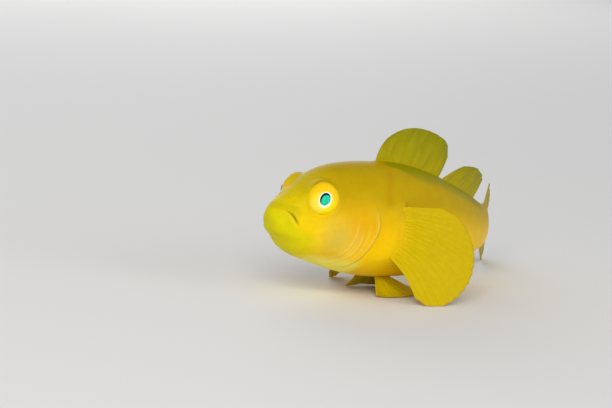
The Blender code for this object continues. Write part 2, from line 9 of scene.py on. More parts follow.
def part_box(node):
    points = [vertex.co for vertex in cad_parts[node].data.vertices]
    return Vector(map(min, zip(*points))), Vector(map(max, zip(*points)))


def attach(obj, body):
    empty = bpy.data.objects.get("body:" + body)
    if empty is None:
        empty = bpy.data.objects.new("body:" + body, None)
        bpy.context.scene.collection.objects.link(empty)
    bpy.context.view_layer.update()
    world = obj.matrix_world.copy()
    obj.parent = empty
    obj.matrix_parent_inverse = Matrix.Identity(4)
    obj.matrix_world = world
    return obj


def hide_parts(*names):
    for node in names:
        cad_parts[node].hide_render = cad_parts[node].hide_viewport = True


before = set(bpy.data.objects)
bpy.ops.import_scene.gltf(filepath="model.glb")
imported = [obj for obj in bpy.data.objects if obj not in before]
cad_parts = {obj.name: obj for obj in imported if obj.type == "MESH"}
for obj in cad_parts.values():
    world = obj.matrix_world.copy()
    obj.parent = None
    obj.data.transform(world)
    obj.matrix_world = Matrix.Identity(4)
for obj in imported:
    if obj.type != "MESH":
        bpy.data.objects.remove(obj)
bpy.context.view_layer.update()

# Skin
# One smooth skin without scales wraps head, jaw, gill covers and body, and carries the lips,
# nostrils, lids and the folds of the gill membrane. It is a fine net of rings round the axis.

# The fish faces -X and its left side -Y. Places are worked out in millimetres along the
# backbone: s from the snout to the tail, y to the fish's left, z up. It lies level through
# the head, bends to the fish's right, and is tipped a little, head up.
MM = 0.001
BODY_LENGTH = 32.0
BEND_FROM = 7.0
BEND_TO = 34.0
BEND = math.radians(48.0)
PITCH = math.radians(5.3)
FLOOR = -6.85
AXIS_REACH = 44.0
EYE_AT = (3.75, 1.80, 1.75)


def ease(t):
    """Run smoothly from 0 to 1."""
    t = np.clip(t, 0.0, 1.0)
    return t * t * (3.0 - 2.0 * t)


def bump(distance, width):
    """Round bump, 1 at distance 0."""
    return np.exp(-((distance / width) ** 2))


def part_way(pair, share):
    """Value on the way from the pair's first number to its second."""
    return pair[0] + (pair[1] - pair[0]) * share


def unit(vectors):
    """Vectors scaled to length 1."""
    return vectors / np.maximum(np.linalg.norm(vectors, axis=-1, keepdims=True), 1e-12)


def ring_net(places, sides):
    """Grid of places along a tube and of angles round it."""
    angles = np.linspace(0.0, 2.0 * math.pi, sides, endpoint=False)
    return np.meshgrid(places, angles, indexing="ij")


def heading(s):
    """Turn of the body's axis to its right at s."""
    return BEND * ease((s - BEND_FROM) / (BEND_TO - BEND_FROM))


def running_sum(values, steps):
    """Integrate values over the steps by the trapezium rule."""
    return np.concatenate([[0.0], np.cumsum((values[1:] + values[:-1]) / 2.0 * steps)])


AXIS_S = np.linspace(0.0, AXIS_REACH, 800)
AXIS_X = running_sum(np.cos(heading(AXIS_S)), np.diff(AXIS_S))
AXIS_Y = running_sum(np.sin(heading(AXIS_S)), np.diff(AXIS_S))


def axis_place(local):
    """Turn places along the body (s, y, z) into places off the snout, in millimetres."""
    local = np.asarray(local, float)
    s = local[..., 0]
    turn = heading(s)
    level = math.cos(PITCH)
    fall = math.sin(PITCH)
    x = np.interp(s, AXIS_S, AXIS_X) * level
    y = np.interp(s, AXIS_S, AXIS_Y) * level
    point = np.stack([x, y, -fall * s], -1)
    back = np.stack([np.cos(turn) * level, np.sin(turn) * level, -fall * np.ones_like(turn)], -1)
    left = np.stack([np.sin(turn), -np.cos(turn), np.zeros_like(turn)], -1)
    return point + left * local[..., 1:2] - np.cross(back, left) * local[..., 2:3]


# The left eye of the frame tells where the snout stands
low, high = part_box("eye_left")
SNOUT = (np.array(low) + np.array(high)) / 2.0 / MM - axis_place(np.array(EYE_AT))


def place_in_frame(local):
    """Turn places along the body into places in the frame, in metres."""
    return (axis_place(local) + SNOUT) * MM


# Stations of the body: s, height above the axis, depth below it, half width, height of the
# widest place, squareness of the section
STATIONS = (
    (0.00, 0.00, 0.00, 0.00, 0.00, 2.20),
    (0.15, 0.33, 0.66, 0.66, -0.35, 2.00),
    (0.60, 0.92, 1.52, 1.34, -0.60, 2.00),
    (1.40, 1.60, 2.36, 2.05, -0.65, 2.05),
    (2.60, 2.75, 3.20, 2.66, -0.65, 2.15),
    (4.20, 3.94, 3.65, 3.16, -0.75, 2.10),
    (6.50, 4.67, 4.12, 3.72, -0.75, 2.15),
    (9.00, 5.00, 4.40, 3.95, -0.50, 2.20),
    (11.5, 5.10, 4.40, 3.75, -0.30, 2.15),
    (15.0, 4.75, 4.05, 3.20, -0.10, 2.10),
    (19.0, 3.90, 3.40, 2.45, 0.00, 2.00),
    (23.0, 3.00, 2.60, 1.75, 0.00, 2.00),
    (27.0, 2.30, 2.00, 1.20, 0.00, 2.00),
    (30.0, 2.05, 1.90, 0.85, 0.00, 2.00),
    (BODY_LENGTH, 2.10, 1.95, 0.60, 0.00, 2.00),
)
FINE_END = 11.0
FINE_RINGS = 245
COARSE_RINGS = 58
RING_SIDES = 320
TAIL_CLOSE = 1.6


def spline(x, y):
    """Natural cubic spline through the points, as a function."""
    x = np.asarray(x, float)
    y = np.asarray(y, float)
    count = len(x)
    h = np.diff(x)
    system = np.eye(count)
    right = np.zeros(count)
    for i in range(1, count - 1):
        system[i, i - 1] = h[i - 1]
        system[i, i] = 2.0 * (h[i - 1] + h[i])
        system[i, i + 1] = h[i]
        right[i] = 6.0 * ((y[i + 1] - y[i]) / h[i] - (y[i] - y[i - 1]) / h[i - 1])
    bends = np.linalg.solve(system, right)

    def curve(q):
        q = np.asarray(q, float)
        i = np.clip(np.searchsorted(x, q) - 1, 0, count - 2)
        a = (x[i + 1] - q) / h[i]
        b = (q - x[i]) / h[i]
        cubic = (a**3 - a) * bends[i] + (b**3 - b) * bends[i + 1]
        return a * y[i] + b * y[i + 1] + cubic * h[i] ** 2 / 6.0

    return curve


# The stations are joined along the root of s, which keeps the snout round
ROOTS = [math.sqrt(row[0]) for row in STATIONS]
TOP, BOTTOM, HALF, WIDEST, POWER = (
    spline(ROOTS, [row[k] for row in STATIONS]) for k in range(1, 6)
)


def edge_of(curve, s):
    """Distance of the body's upper or lower edge from the axis at s."""
    return curve(np.sqrt(np.minimum(s, BODY_LENGTH)))


def section(s, angle):
    """Plain section of the body: place on the skin at s, angle 0 is left, 90 is up."""
    root = np.sqrt(np.clip(s, 0.0, BODY_LENGTH))
    close = np.clip((s - BODY_LENGTH) / TAIL_CLOSE, 0.0, 1.0)
    power = 2.0 / POWER(root)
    cosine = np.cos(angle)
    sine = np.sin(angle)
    widest = WIDEST(root)
    height = np.where(sine >= 0.0, TOP(root) - widest, BOTTOM(root) + widest)
    height = height * (1.0 - 0.28 * close**2)
    half = HALF(root) * (1.0 - 0.94 * ease(close))
    y = half * np.sign(cosine) * np.abs(cosine) ** power
    z = widest + height * np.sign(sine) * np.abs(sine) ** power
    return np.stack([s, y, z], -1)


def soft_max(a, b, width):
    """Larger of two values, with the change from one to the other rounded."""
    blend = np.clip(0.5 + 0.5 * (a - b) / width, 0.0, 1.0)
    return b + (a - b) * blend + width * blend * (1.0 - blend)


# Mouth: an arch that is level in front and falls to the corners. The lips' relief fades in
# towards the sides, because the mouth is shut tight in front.
MOUTH_TOP = 0.46
MOUTH_DROP = 0.98
MOUTH_HALF = 2.18
MOUTH_POWER = 5.0
MOUTH_FALL = 1.6
MOUTH_CORNER = 0.2
MOUTH_REACH = 2.30
MOUTH_BACK = 2.1
LIP_AT = 0.24
UPPER_LIP_WIDTH = 0.20
LOWER_LIP_WIDTH = 0.25
LIP_RISE = 0.07
LIP_CREASE_AT = 0.52
LIP_CREASE_WIDTH = 0.09
LIP_CREASE_DEPTH = 0.04
LIP_FADE = (1.1, 2.0)
GROOVE_WIDTH = 0.05
GROOVE_DEPTH = (0.006, 0.10)
JAW_BACK = 4.2


def mouth_offset(place):
    """Distance over the mouth's line, and how far the place lies inside its corners."""
    y = np.abs(place[..., 1])
    share = y / MOUTH_HALF
    arch = MOUTH_TOP - MOUTH_DROP * share**MOUTH_POWER
    edge = MOUTH_TOP - MOUTH_DROP - MOUTH_FALL * np.maximum(share - 1.0, 0.0)
    line = soft_max(arch, edge, MOUTH_CORNER)
    slope = MOUTH_DROP * MOUTH_POWER / MOUTH_HALF * np.minimum(share, 1.0) ** (MOUTH_POWER - 1.0)
    off = (place[..., 2] - line) / np.sqrt(1.0 + slope**2)
    inside = ease((MOUTH_REACH - y) / 0.3) * ease((MOUTH_BACK - place[..., 0]) / 0.4)
    return off, inside


def mouth_relief(place, marks):
    """Lips, the crease over the upper one, and the groove of the mouth's line between them."""
    off, inside = mouth_offset(place)
    lips = bump(off - LIP_AT, UPPER_LIP_WIDTH) + bump(off + LIP_AT, LOWER_LIP_WIDTH)
    crease = bump(off - LIP_CREASE_AT, LIP_CREASE_WIDTH)
    groove = bump(off, GROOVE_WIDTH)
    aside = ease((np.abs(place[..., 1]) - LIP_FADE[0]) / (LIP_FADE[1] - LIP_FADE[0]))
    swell = LIP_RISE * aside
    depth = part_way(GROOVE_DEPTH, aside)
    marks["lip"] = inside * bump(off - LIP_AT, 1.3 * UPPER_LIP_WIDTH)
    # The groove mark paints shade into the mouth's line.
    marks["groove"] = inside * groove * (0.2 + 0.8 * aside)
    marks["jaw"] = ease((-off - 0.05) / 0.3) * ease((JAW_BACK - place[..., 0]) / 2.0)
    return inside * (swell * lips - LIP_CREASE_DEPTH * aside * crease - (depth + swell) * groove)


# Lower lip, the shallow fold under it, and the chin: height on the axis, width and rise
CHIN_FORMS = ((-1.42, 0.34, 0.09), (-1.99, 0.15, -0.02), (-2.75, 0.46, 0.08))
CHIN_BACK = 2.9
CHIN_HALF = 2.6


def chin_relief(place):
    """Lower lip, fold and chin, which fade to the sides and to the throat."""
    height = np.zeros(place.shape[:-1])
    for middle, width, rise in CHIN_FORMS:
        height = height + rise * bump(place[..., 2] - middle, width)
    return height * ease((CHIN_BACK - place[..., 0]) / 1.3) * ease(CHIN_HALF - np.abs(place[..., 1]))


# Spots of the flank: s and z of the middle, and the reach along both
CHEEK = ((4.95, -1.35), (1.35, 1.45))
CHEEK_RISE = 0.07
OPERCLE = ((6.7, -0.1), (1.3, 1.6))


def spot(place, middle, reach):
    """Round spot on both flanks, 1 in its middle."""
    return bump(place[..., 0] - middle[0], reach[0]) * bump(place[..., 2] - middle[1], reach[1])


# Gill cover and the folds of the gill membrane: each runs down the cheek and forward under
# the throat, given by its s at some angles round the body, in degrees, 0 at the side. A fold
# also has its share of the full height, and the angle at which it starts.
FOLD_ANGLES = (20.0, 0.0, -15.0, -30.0, -45.0, -60.0, -75.0, -90.0)
COVER_EDGE = (8.05, 8.36, 8.08, 7.60, 7.12, 6.45, 5.10, 3.60)
COVER_TOP = 26.0
COVER_RISE = 0.07
COVER_RAMP = (1.2, 0.07)
SLIT_AT = 0.16
SLIT_WIDTH = 0.13
SLIT_DEPTH = 0.03
MEMBRANE_FOLDS = (
    ((6.10, 6.50, 6.38, 6.00, 5.32, 4.05, 2.60, 1.40), 0.9, 12.0),
    ((6.36, 6.74, 6.68, 6.35, 5.72, 4.70, 3.10, 1.60), 0.5, -2.0),
    ((6.62, 6.96, 6.96, 6.68, 6.12, 5.35, 3.80, 2.10), 1.0, 2.0),
    ((7.25, 7.60, 7.45, 7.10, 6.60, 5.90, 4.45, 2.80), 0.45, 10.0),
)
FOLD_RISE = 0.022
FOLD_RAMP = (0.4, 0.12)
FOLD_LINE = 0.10
FOLD_FADE = 24.0
FOLD_FRONT = -80.0
THROAT = (2.6, 8.2)
THROAT_TOP = -2.6


def fold_offset(place, fold, top):
    """Distance behind a fold of the gill membrane, and its strength along its length."""
    turn = np.degrees(np.arctan2(place[..., 2], np.maximum(np.abs(place[..., 1]), 1e-6)))
    turn = np.clip(turn, FOLD_ANGLES[-1], FOLD_ANGLES[0] + 10.0)
    curve = spline(FOLD_ANGLES[::-1], fold[::-1])
    slope = (curve(turn + 1.0) - curve(turn - 1.0)) / math.radians(2.0)
    radius = np.hypot(place[..., 1], place[..., 2])
    off = (place[..., 0] - curve(turn)) / np.sqrt(1.0 + (slope / np.maximum(radius, 0.5)) ** 2)
    strength = ease((top - turn) / FOLD_FADE) * ease((turn - FOLD_FRONT) / 14.0)
    return off, strength * ease((place[..., 0] - 1.2) / 0.8)


def free_edge(off, ramp):
    """Slow rise to a fold's edge at off 0 and quick fall behind it."""
    return ease(1.0 + off / ramp[0]) * (off < 0.0) + ease(1.0 - off / ramp[1]) * (off >= 0.0)


def gill_relief(place, marks):
    """Free edge of the gill cover, the slit behind it, and the folds of the membrane."""
    off, strength = fold_offset(place, COVER_EDGE, COVER_TOP)
    slit = SLIT_DEPTH * bump(off - SLIT_AT, SLIT_WIDTH)
    height = strength * (COVER_RISE * free_edge(off, COVER_RAMP) - slit)
    marks["fold"] = strength * bump(off + 0.03, FOLD_LINE)
    # The slit mark paints shade into the slit behind the cover's edge.
    marks["slit"] = strength * bump(off - 0.10, FOLD_LINE)
    for fold, share, top in MEMBRANE_FOLDS:
        off, strength = fold_offset(place, fold, top)
        height = height + FOLD_RISE * share * strength * free_edge(off, FOLD_RAMP)
        marks["fold"] = np.maximum(marks["fold"], share * strength * bump(off + 0.02, FOLD_LINE))
    along = ease((place[..., 0] - THROAT[0]) / 1.2) * ease(THROAT[1] - place[..., 0])
    marks["throat"] = along * ease((THROAT_TOP - place[..., 2]) / 0.8)
    return height


# Nostrils: a short tube in front and a pore behind it on each side, by s, y, radius and rise
NOSTRILS = ((1.55, 0.95, 0.11, 0.05), (2.35, 0.80, 0.09, 0.015))
NOSTRIL_RIM = 0.05
PORE_WIDTH = 0.06
PORE_DEPTH = 0.06


def crown_height(s, y):
    """Height of the plain skin over the axis at s and y."""
    root = math.sqrt(s)
    share = (y / HALF(root)) ** POWER(root)
    return WIDEST(root) + (TOP(root) - WIDEST(root)) * (1.0 - share) ** (1.0 / POWER(root))


def nostril_relief(place, marks):
    """Rims and pores of the nostrils."""
    height = np.zeros(place.shape[:-1])
    for s, y, radius, rise in NOSTRILS:
        off_s = place[..., 0] - s
        off_y = np.abs(place[..., 1]) - y
        away = np.sqrt(off_s**2 + off_y**2 + (place[..., 2] - crown_height(s, y)) ** 2)
        pore = bump(away, PORE_WIDTH)
        height = height + rise * bump(away - radius, NOSTRIL_RIM) - PORE_DEPTH * pore
        # The groove mark paints shade into the pore.
        marks["groove"] = np.maximum(marks["groove"], 0.3 * pore)
    return height


# Shoulder: the fleshy lobe that runs on to the pectoral fin, and the cleft above it
PECTORAL_AT = (9.75, 1.9)
PECTORAL_ROOT = 4.0
PECTORAL_ROOT_BOW = 0.35
LOBE_HEIGHT = 0.32
LOBE_RISE = (-0.03, 0.07)
LOBE_FRONT = 0.95
LOBE_END = 0.75
LOBE_BEYOND = 0.65
CLEFT_AT = (9.15, 2.0)
CLEFT_CURVE = 0.14
CLEFT_WIDTH = 0.34
CLEFT_SPAN = (1.3, 5.1)
CLEFT_DEPTH = 0.02


def shoulder_relief(place, marks):
    """Lobe that ends under the fin's root, a little higher there than the fin, and cleft."""
    s = place[..., 0]
    z = place[..., 2]
    q = np.clip((PECTORAL_AT[1] - z) / PECTORAL_ROOT, 0.0, 1.0)
    above = np.maximum(z - PECTORAL_AT[1], 0.0)
    beyond = above + np.maximum(PECTORAL_AT[1] - PECTORAL_ROOT - z, 0.0)
    away = s - PECTORAL_AT[0] - PECTORAL_ROOT_BOW * np.sin(math.pi * q)
    rise = part_way(LOBE_RISE, ease(q / 0.3))
    lobe = (LOBE_HEIGHT + rise * ease(away / 0.8)) * bump(np.minimum(away, 0.0), LOBE_FRONT)
    fall = ease(1.0 - (away - LOBE_END) / (0.45 + 1.2 * beyond))
    height = lobe * fall * bump(beyond, LOBE_BEYOND)
    away = s - CLEFT_AT[0] - CLEFT_CURVE * (z - CLEFT_AT[1]) ** 2
    span = ease((z - CLEFT_SPAN[0]) / 0.9) * ease((CLEFT_SPAN[1] - z) / 0.6)
    # The cleft mark paints shade into the cleft.
    marks["cleft"] = bump(away, CLEFT_WIDTH) * span
    return height - CLEFT_DEPTH * marks["cleft"]


# Fleshy ridges under the fins of the middle line: from, to, rise, width, side. An olive crest
# lies along the upper ones and widens to the rear.
FIN_RIDGES = (
    (9.8, 17.4, 0.10, 0.34, 1.0),
    (17.6, 24.8, 0.10, 0.30, 1.0),
    (19.2, 24.8, 0.10, 0.28, -1.0),
)
CREST = (9.8, 26.0)
CREST_WIDTH = (0.15, 0.85)


def ridge_relief(place, marks):
    """Ridges of the middle line, and the mark of the crest."""
    s = place[..., 0]
    z = place[..., 2]
    height = np.zeros(place.shape[:-1])
    for start, end, rise, width, side in FIN_RIDGES:
        along = ease((s - start + 0.4) / 0.5) * ease((end + 0.4 - s) / 0.5)
        height = height + rise * along * bump(place[..., 1], width) * (z * side > 0.0)
    below = (edge_of(TOP, s) - z) / part_way(CREST_WIDTH, ease((s - 10.0) / 3.5))
    along = ease(s - CREST[0]) * ease((CREST[1] - s) / 2.0)
    marks["crest"] = along * ease(1.5 - below)
    return height


def skin_relief(place):
    """Height of the folds over the plain skin, and the marks that the colours follow."""
    marks = {"cheek": spot(place, *CHEEK), "opercle": spot(place, *OPERCLE)}
    height = mouth_relief(place, marks) + chin_relief(place) + CHEEK_RISE * marks["cheek"]
    height = height + gill_relief(place, marks) + nostril_relief(place, marks)
    height = height + shoulder_relief(place, marks) + ridge_relief(place, marks)
    return height, marks


# Eyes stand in a dome of skin whose rim, the lid, hugs the eyeball
EYE_LOOK = (-0.40, 0.915, 0.03)
LID_RADIUS = 1.57
LID_BLEND = (0.60, 0.25)
DOME_BEHIND = 1.1
DOME_EASE = 0.9
ORBIT_SLOPE = 0.6
ORBIT_REACH = 2.9
ORBIT_EASE = 0.8
LID_EDGE = 1.25
LID_OVAL = (1.12, 0.96)
LID_HEIGHT = (0.42, 0.66)
LID_HUG = 0.10
ORBIT_FLAT = 0.24
LID_SOFT = (0.05, 0.55)
LID_SOFT_FROM = 1.36
LID_MARK_WIDTH = 0.16
LID_FOLD_AT = 1.40
LID_FOLD_WIDTH = 0.08
LID_FOLD_DEPTH = 0.03
# The iris of the right eye shines through the lid in front of it
GLOW_AT = (2.20, -1.30, 2.00)
GLOW_WIDTH = 0.62


def lid_profile(aside):
    """Height of the lid's rim ahead of the eye's centre, over distance aside of its axis."""
    rim = part_way(LID_HEIGHT, ease((aside - LID_EDGE + 0.17) / 0.30))
    return rim + ORBIT_SLOPE * np.maximum(aside - LID_EDGE - ORBIT_FLAT, 0.0)


def shape_orbits(place):
    """Push the skin out to a dome round each eye, in under the eyeball, and up to a rim."""
    place = place.copy()
    marks = {name: np.zeros(place.shape[:-1]) for name in ("lid", "lid_fold_shade")}
    for side in (1.0, -1.0):
        centre = np.array(EYE_AT) * (1.0, side, 1.0)
        look = unit(np.array(EYE_LOOK) * (1.0, side, 1.0))
        arm = place - centre
        length = np.linalg.norm(arm, axis=-1)
        ahead = arm @ look
        hold = ease((ahead + DOME_BEHIND) / DOME_EASE)
        shell = LID_RADIUS - LID_HUG * ease((ahead / length - 0.15) / 0.3)
        width = part_way(LID_BLEND, ease(0.5 + arm[..., 2] / length))
        push = (soft_max(length, shell, width) - length) * hold
        place += arm / length[..., None] * push[..., None]
        arm = place - centre
        ahead = arm @ look
        across = arm - ahead[..., None] * look
        upward = across[..., 2]
        along = np.sqrt(np.maximum((across**2).sum(-1) - upward**2, 0.0))
        aside = np.hypot(along * LID_OVAL[0], upward * LID_OVAL[1])
        above = upward / np.maximum(aside, 0.1)
        soft = part_way(LID_SOFT, ease((aside - LID_SOFT_FROM) / 0.6))
        sunk = -soft_max(-ahead, -lid_profile(aside), soft)
        near = ease((ORBIT_REACH - aside) / ORBIT_EASE) * (ahead > 0.0)
        front = ease((ahead + 0.2) / 0.4)
        brow = front * bump(aside - LID_FOLD_AT, LID_FOLD_WIDTH) * ease((above - 0.45) / 0.4)
        place -= look * ((ahead - sunk) * near + LID_FOLD_DEPTH * brow)[..., None]
        rim = front * bump(aside - LID_EDGE - 0.05, LID_MARK_WIDTH)
        marks["lid"] = marks["lid"] + rim * ease(0.7 - above)
        # The lid fold mark paints the shade of the upper lid over the eye.
        marks["lid_fold_shade"] = marks["lid_fold_shade"] + brow
    marks["glow"] = bump(np.linalg.norm(place - GLOW_AT, axis=-1), GLOW_WIDTH)
    return place, marks


fine = np.linspace(0.0, math.sqrt(FINE_END), FINE_RINGS + 1)[1:] ** 2
step = np.linspace(fine[-1] - fine[-2], 0.62, COARSE_RINGS)
coarse = FINE_END + np.cumsum(step * (BODY_LENGTH + TAIL_CLOSE - FINE_END) / step.sum())
ring_s, ring_angle = ring_net(np.concatenate([fine, coarse]), RING_SIDES)
plain = section(ring_s, ring_angle)
across = np.roll(plain, -1, 1) - np.roll(plain, 1, 1)
outward = unit(np.cross(across, np.gradient(plain, axis=0)))
rise, skin_marks = skin_relief(plain)
local, eye_marks = shape_orbits(plain + outward * rise[..., None])
skin_marks.update(eye_marks)
edge = np.where(plain[..., 2] > 0.0, edge_of(TOP, ring_s), edge_of(BOTTOM, ring_s))
skin_marks["height"] = 0.5 + 0.5 * plain[..., 2] / np.maximum(edge, 0.2)
skin_marks["along"] = ring_s / BODY_LENGTH


def add_object(name, data):
    """New object in the scene that shows a mesh, lamp or camera."""
    thing = bpy.data.objects.new(name, data)
    bpy.context.scene.collection.objects.link(thing)
    return thing


def mesh_object(name, points, faces):
    """Mesh object with smooth faces, its points given in metres."""
    mesh = bpy.data.meshes.new(name)
    mesh.from_pydata([tuple(p) for p in points], [], faces)
    mesh.shade_smooth()
    mesh.update()
    return add_object(name, mesh)


def set_marks(thing, marks):
    """Store marks as attributes of the mesh's points, for the materials."""
    for name, values in marks.items():
        attribute = thing.data.attributes.new(name, "FLOAT", "POINT")
        attribute.data.foreach_set("value", np.asarray(values, np.float32).ravel())


def set_tube_marks(thing, marks):
    """Store marks of a tube's rings; its hubs take the mean of the end rings."""
    set_marks(thing, {
        name: np.concatenate([values.ravel(), [values[0].mean(), values[-1].mean()]])
        for name, values in marks.items()
    })


def tube_faces(rings, sides):
    """Faces of a closed tube of rings, with a fan at each end; the fans' hubs come last."""
    faces = []
    for i in range(rings - 1):
        for j in range(sides):
            k = (j + 1) % sides
            faces.append((i * sides + j, (i + 1) * sides + j, (i + 1) * sides + k, i * sides + k))
    front = rings * sides
    for j in range(sides):
        k = (j + 1) % sides
        faces.append((front, j, k))
        faces.append((front + 1, (rings - 1) * sides + k, (rings - 1) * sides + j))
    return faces


hubs = np.stack([local[0].mean(0), local[-1].mean(0)])
net = np.concatenate([local.reshape(-1, 3), hubs])
skin = mesh_object("skin", place_in_frame(net), tube_faces(*ring_s.shape))
set_tube_marks(skin, skin_marks)


def linear(red, green, blue):
    """Colour in linear light from its sRGB parts, 0 to 255."""
    parts = np.array([red, green, blue]) / 255.0
    low_part = parts / 12.92
    high_part = ((parts + 0.055) / 1.055) ** 2.4
    return (*np.where(parts <= 0.04045, low_part, high_part), 1.0)


class Paint:
    """A material under construction: adds nodes and links them."""

    def __init__(self, name):
        self.material = bpy.data.materials.new(name)
        self.material.use_nodes = True
        self.tree = self.material.node_tree
        self.shader = self.tree.nodes["Principled BSDF"]

    def node(self, kind, **values):
        """Add a node; values are its properties, or its inputs by their names with _ for spaces."""
        made = self.tree.nodes.new(kind)
        for key, value in values.items():
            if hasattr(made, key):
                setattr(made, key, value)
            else:
                self.feed(made.inputs[key.replace("_", " ")], value)
        return made

    def feed(self, socket, value):
        """Give a socket a value or link it to an output."""
        if isinstance(value, bpy.types.NodeSocket):
            self.tree.links.new(value, socket)
        else:
            socket.default_value = value

    def set(self, **values):
        """Set inputs of the main shader."""
        for key, value in values.items():
            self.feed(self.shader.inputs[key.replace("_", " ")], value)

    def mark(self, name):
        """Value of a mark stored on the mesh."""
        return self.node("ShaderNodeAttribute", attribute_name=name).outputs["Fac"]

    def math(self, operation, a, b=0.0, clamp=False):
        """Result of a calculation."""
        made = self.node("ShaderNodeMath", operation=operation, use_clamp=clamp)
        self.feed(made.inputs[0], a)
        self.feed(made.inputs[1], b)
        return made.outputs[0]

    def mix(self, share, a, b, blend="MIX"):
        """Mix of two colours."""
        made = self.node("ShaderNodeMix", data_type="RGBA", blend_type=blend, clamp_factor=True)
        self.feed(made.inputs["Factor"], share)
        self.feed(made.inputs["A"], a)
        self.feed(made.inputs["B"], b)
        return made.outputs["Result"]

    def ramp(self, value, stops):
        """Colour ramp over value, as stops of position and colour."""
        made = self.node("ShaderNodeValToRGB")
        self.feed(made.inputs["Fac"], value)
        points = made.color_ramp.elements
        while len(points) < len(stops):
            points.new(0.5)
        for point, (position, colour) in zip(points, stops):
            point.position = position
            point.color = colour
        return made.outputs["Color"]

    def noise(self, scale, detail=3.0, roughness=0.5, distortion=0.0):
        """Cloudy noise over the object's own space; scale counts waves to a metre."""
        space = self.node("ShaderNodeTexCoord").outputs["Object"]
        made = self.node(
            "ShaderNodeTexNoise", Vector=space, Scale=scale, Detail=detail,
            Roughness=roughness, Distortion=distortion,
        )
        return made.outputs["Fac"]

    def weigh(self, start, *terms, gain=1.0):
        """Sum of a start value and weighted values, times a gain, kept between 0 and 1."""
        total = start
        for value, weight in terms:
            total = self.math("ADD", total, self.math("MULTIPLY", value, weight))
        return self.math("MULTIPLY", total, gain, clamp=True)

    def mottle(self, colour, share, dark, span, *grain):
        """Darken a colour in cloudy spots that fade over a span of the noise."""
        spots = self.ramp(self.noise(*grain), (
            (span[0], (*dark, 1.0)), (span[1], (1.0, 1.0, 1.0, 1.0)),
        ))
        return self.mix(share, colour, spots, "MULTIPLY")

    def bumps(self, layers):
        """Chain of bumps, each a height, its strength and its depth in metres."""
        normal = None
        for height, strength, distance in layers:
            made = self.node("ShaderNodeBump", Strength=strength, Distance=distance)
            self.feed(made.inputs["Height"], height)
            if normal is not None:
                self.feed(made.inputs["Normal"], normal)
            normal = made.outputs["Normal"]
        return normal


# Colours of the skin. Painted shade darkens the back and crown, and painted light from below brightens the
# low flank, jaw and throat. Painted shade also darkens the mouth's line, the pores, the gill slit, the
# shoulder's cleft and the lid's fold.
YELLOW_BELLY = linear(238, 186, 0)
YELLOW_LOW_LIT = linear(250, 206, 0)
YELLOW_FLANK = linear(234, 190, 0)
YELLOW_BACK_SHADED = linear(194, 162, 0)
YELLOW_CROWN_SHADED = linear(182, 152, 0)
LEMON = linear(240, 216, 0)
JAW_LEMON_LIT = linear(218, 212, 6)
LIP_OLIVE = linear(190, 184, 4)
CHEEK_PINK = linear(218, 190, 76)
OPERCLE_ORANGE = linear(232, 172, 0)
THROAT_CREAM_LIT = linear(244, 236, 96)
FOLD_PINK = linear(246, 208, 112)
MOUTH_SHADE = linear(146, 122, 4)
CREASE_SHADE_BROWN = linear(186, 142, 0)
CREST_OLIVE = linear(140, 138, 0)
IRIS_THROUGH = linear(255, 198, 0)
LID_ORANGE = linear(250, 202, 0)
LID_FOLD_SHADE_OLIVE = linear(150, 126, 0)

# A thin, dull wet film on skin, webs and rays
WET = dict(Specular_IOR_Level=0.06, Coat_Weight=0.02, Coat_Roughness=0.20)

paint = Paint("goby_skin")
# Yellow by height on the body: the fish's own tone, with painted shade that darkens the back and crown and
# painted light that brightens the low flank.
coat = paint.ramp(paint.mark("height"), (
    (0.0, YELLOW_BELLY), (0.22, YELLOW_LOW_LIT), (0.5, YELLOW_FLANK), (0.74, YELLOW_BACK_SHADED),
    (1.0, YELLOW_CROWN_SHADED),
))
snout = paint.ramp(paint.mark("along"), (
    (0.03, (1.0, 1.0, 1.0, 1.0)), (0.16, (0.0, 0.0, 0.0, 1.0)),
))
coat = paint.mix(paint.math("MULTIPLY", snout, 0.8), coat, LEMON)
for name, share, colour in (
    # The lower jaw and throat keep their lemon and cream, brightened by painted light from below.
    ("jaw", 0.75, JAW_LEMON_LIT),
    ("opercle", 0.75, OPERCLE_ORANGE),
    ("cheek", 0.85, CHEEK_PINK),
    ("throat", 0.95, THROAT_CREAM_LIT),
    ("lip", 0.50, LIP_OLIVE),
    # Painted shade in the shoulder's cleft.
    ("cleft", 0.60, CREASE_SHADE_BROWN),
    ("crest", 0.85, CREST_OLIVE),
    ("glow", 0.85, IRIS_THROUGH),
    ("lid", 0.7, LID_ORANGE),
    # Painted shade of the upper lid.
    ("lid_fold_shade", 0.60, LID_FOLD_SHADE_OLIVE),
    ("fold", 0.62, FOLD_PINK),
    # Painted shade in the gill slit.
    ("slit", 0.35, CREASE_SHADE_BROWN),
    # Painted shade in the mouth's line and the nostrils' pores.
    ("groove", 0.85, MOUTH_SHADE),
):
    coat = paint.mix(paint.math("MULTIPLY", paint.mark(name), share), coat, colour)
coat = paint.mottle(coat, 1.0, (0.92, 0.90, 0.80), (0.30, 0.70), 900.0, 4.0, 0.6)
coat = paint.mottle(coat, 0.6, (0.92, 0.89, 0.75), (0.30, 0.50), 14000.0, 2.0)
paint.set(
    Base_Color=coat,
    Roughness=0.46,
    Subsurface_Weight=0.35,
    Subsurface_Radius=(1.0, 0.70, 0.05),
    Subsurface_Scale=0.0006,
    Normal=paint.bumps((
        (paint.noise(2600.0, 3.0), 0.20, 0.00005),
        (paint.noise(16000.0, 2.0), 0.20, 0.00001),
    )),
    **WET,
)
skin_paint = paint.material
skin.data.materials.append(skin_paint)
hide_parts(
    "head", "lower_jaw", "gill_cover_left", "gill_cover_right", "trunk", "rear_body",
    "tail_stalk",
)
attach(skin, "root")

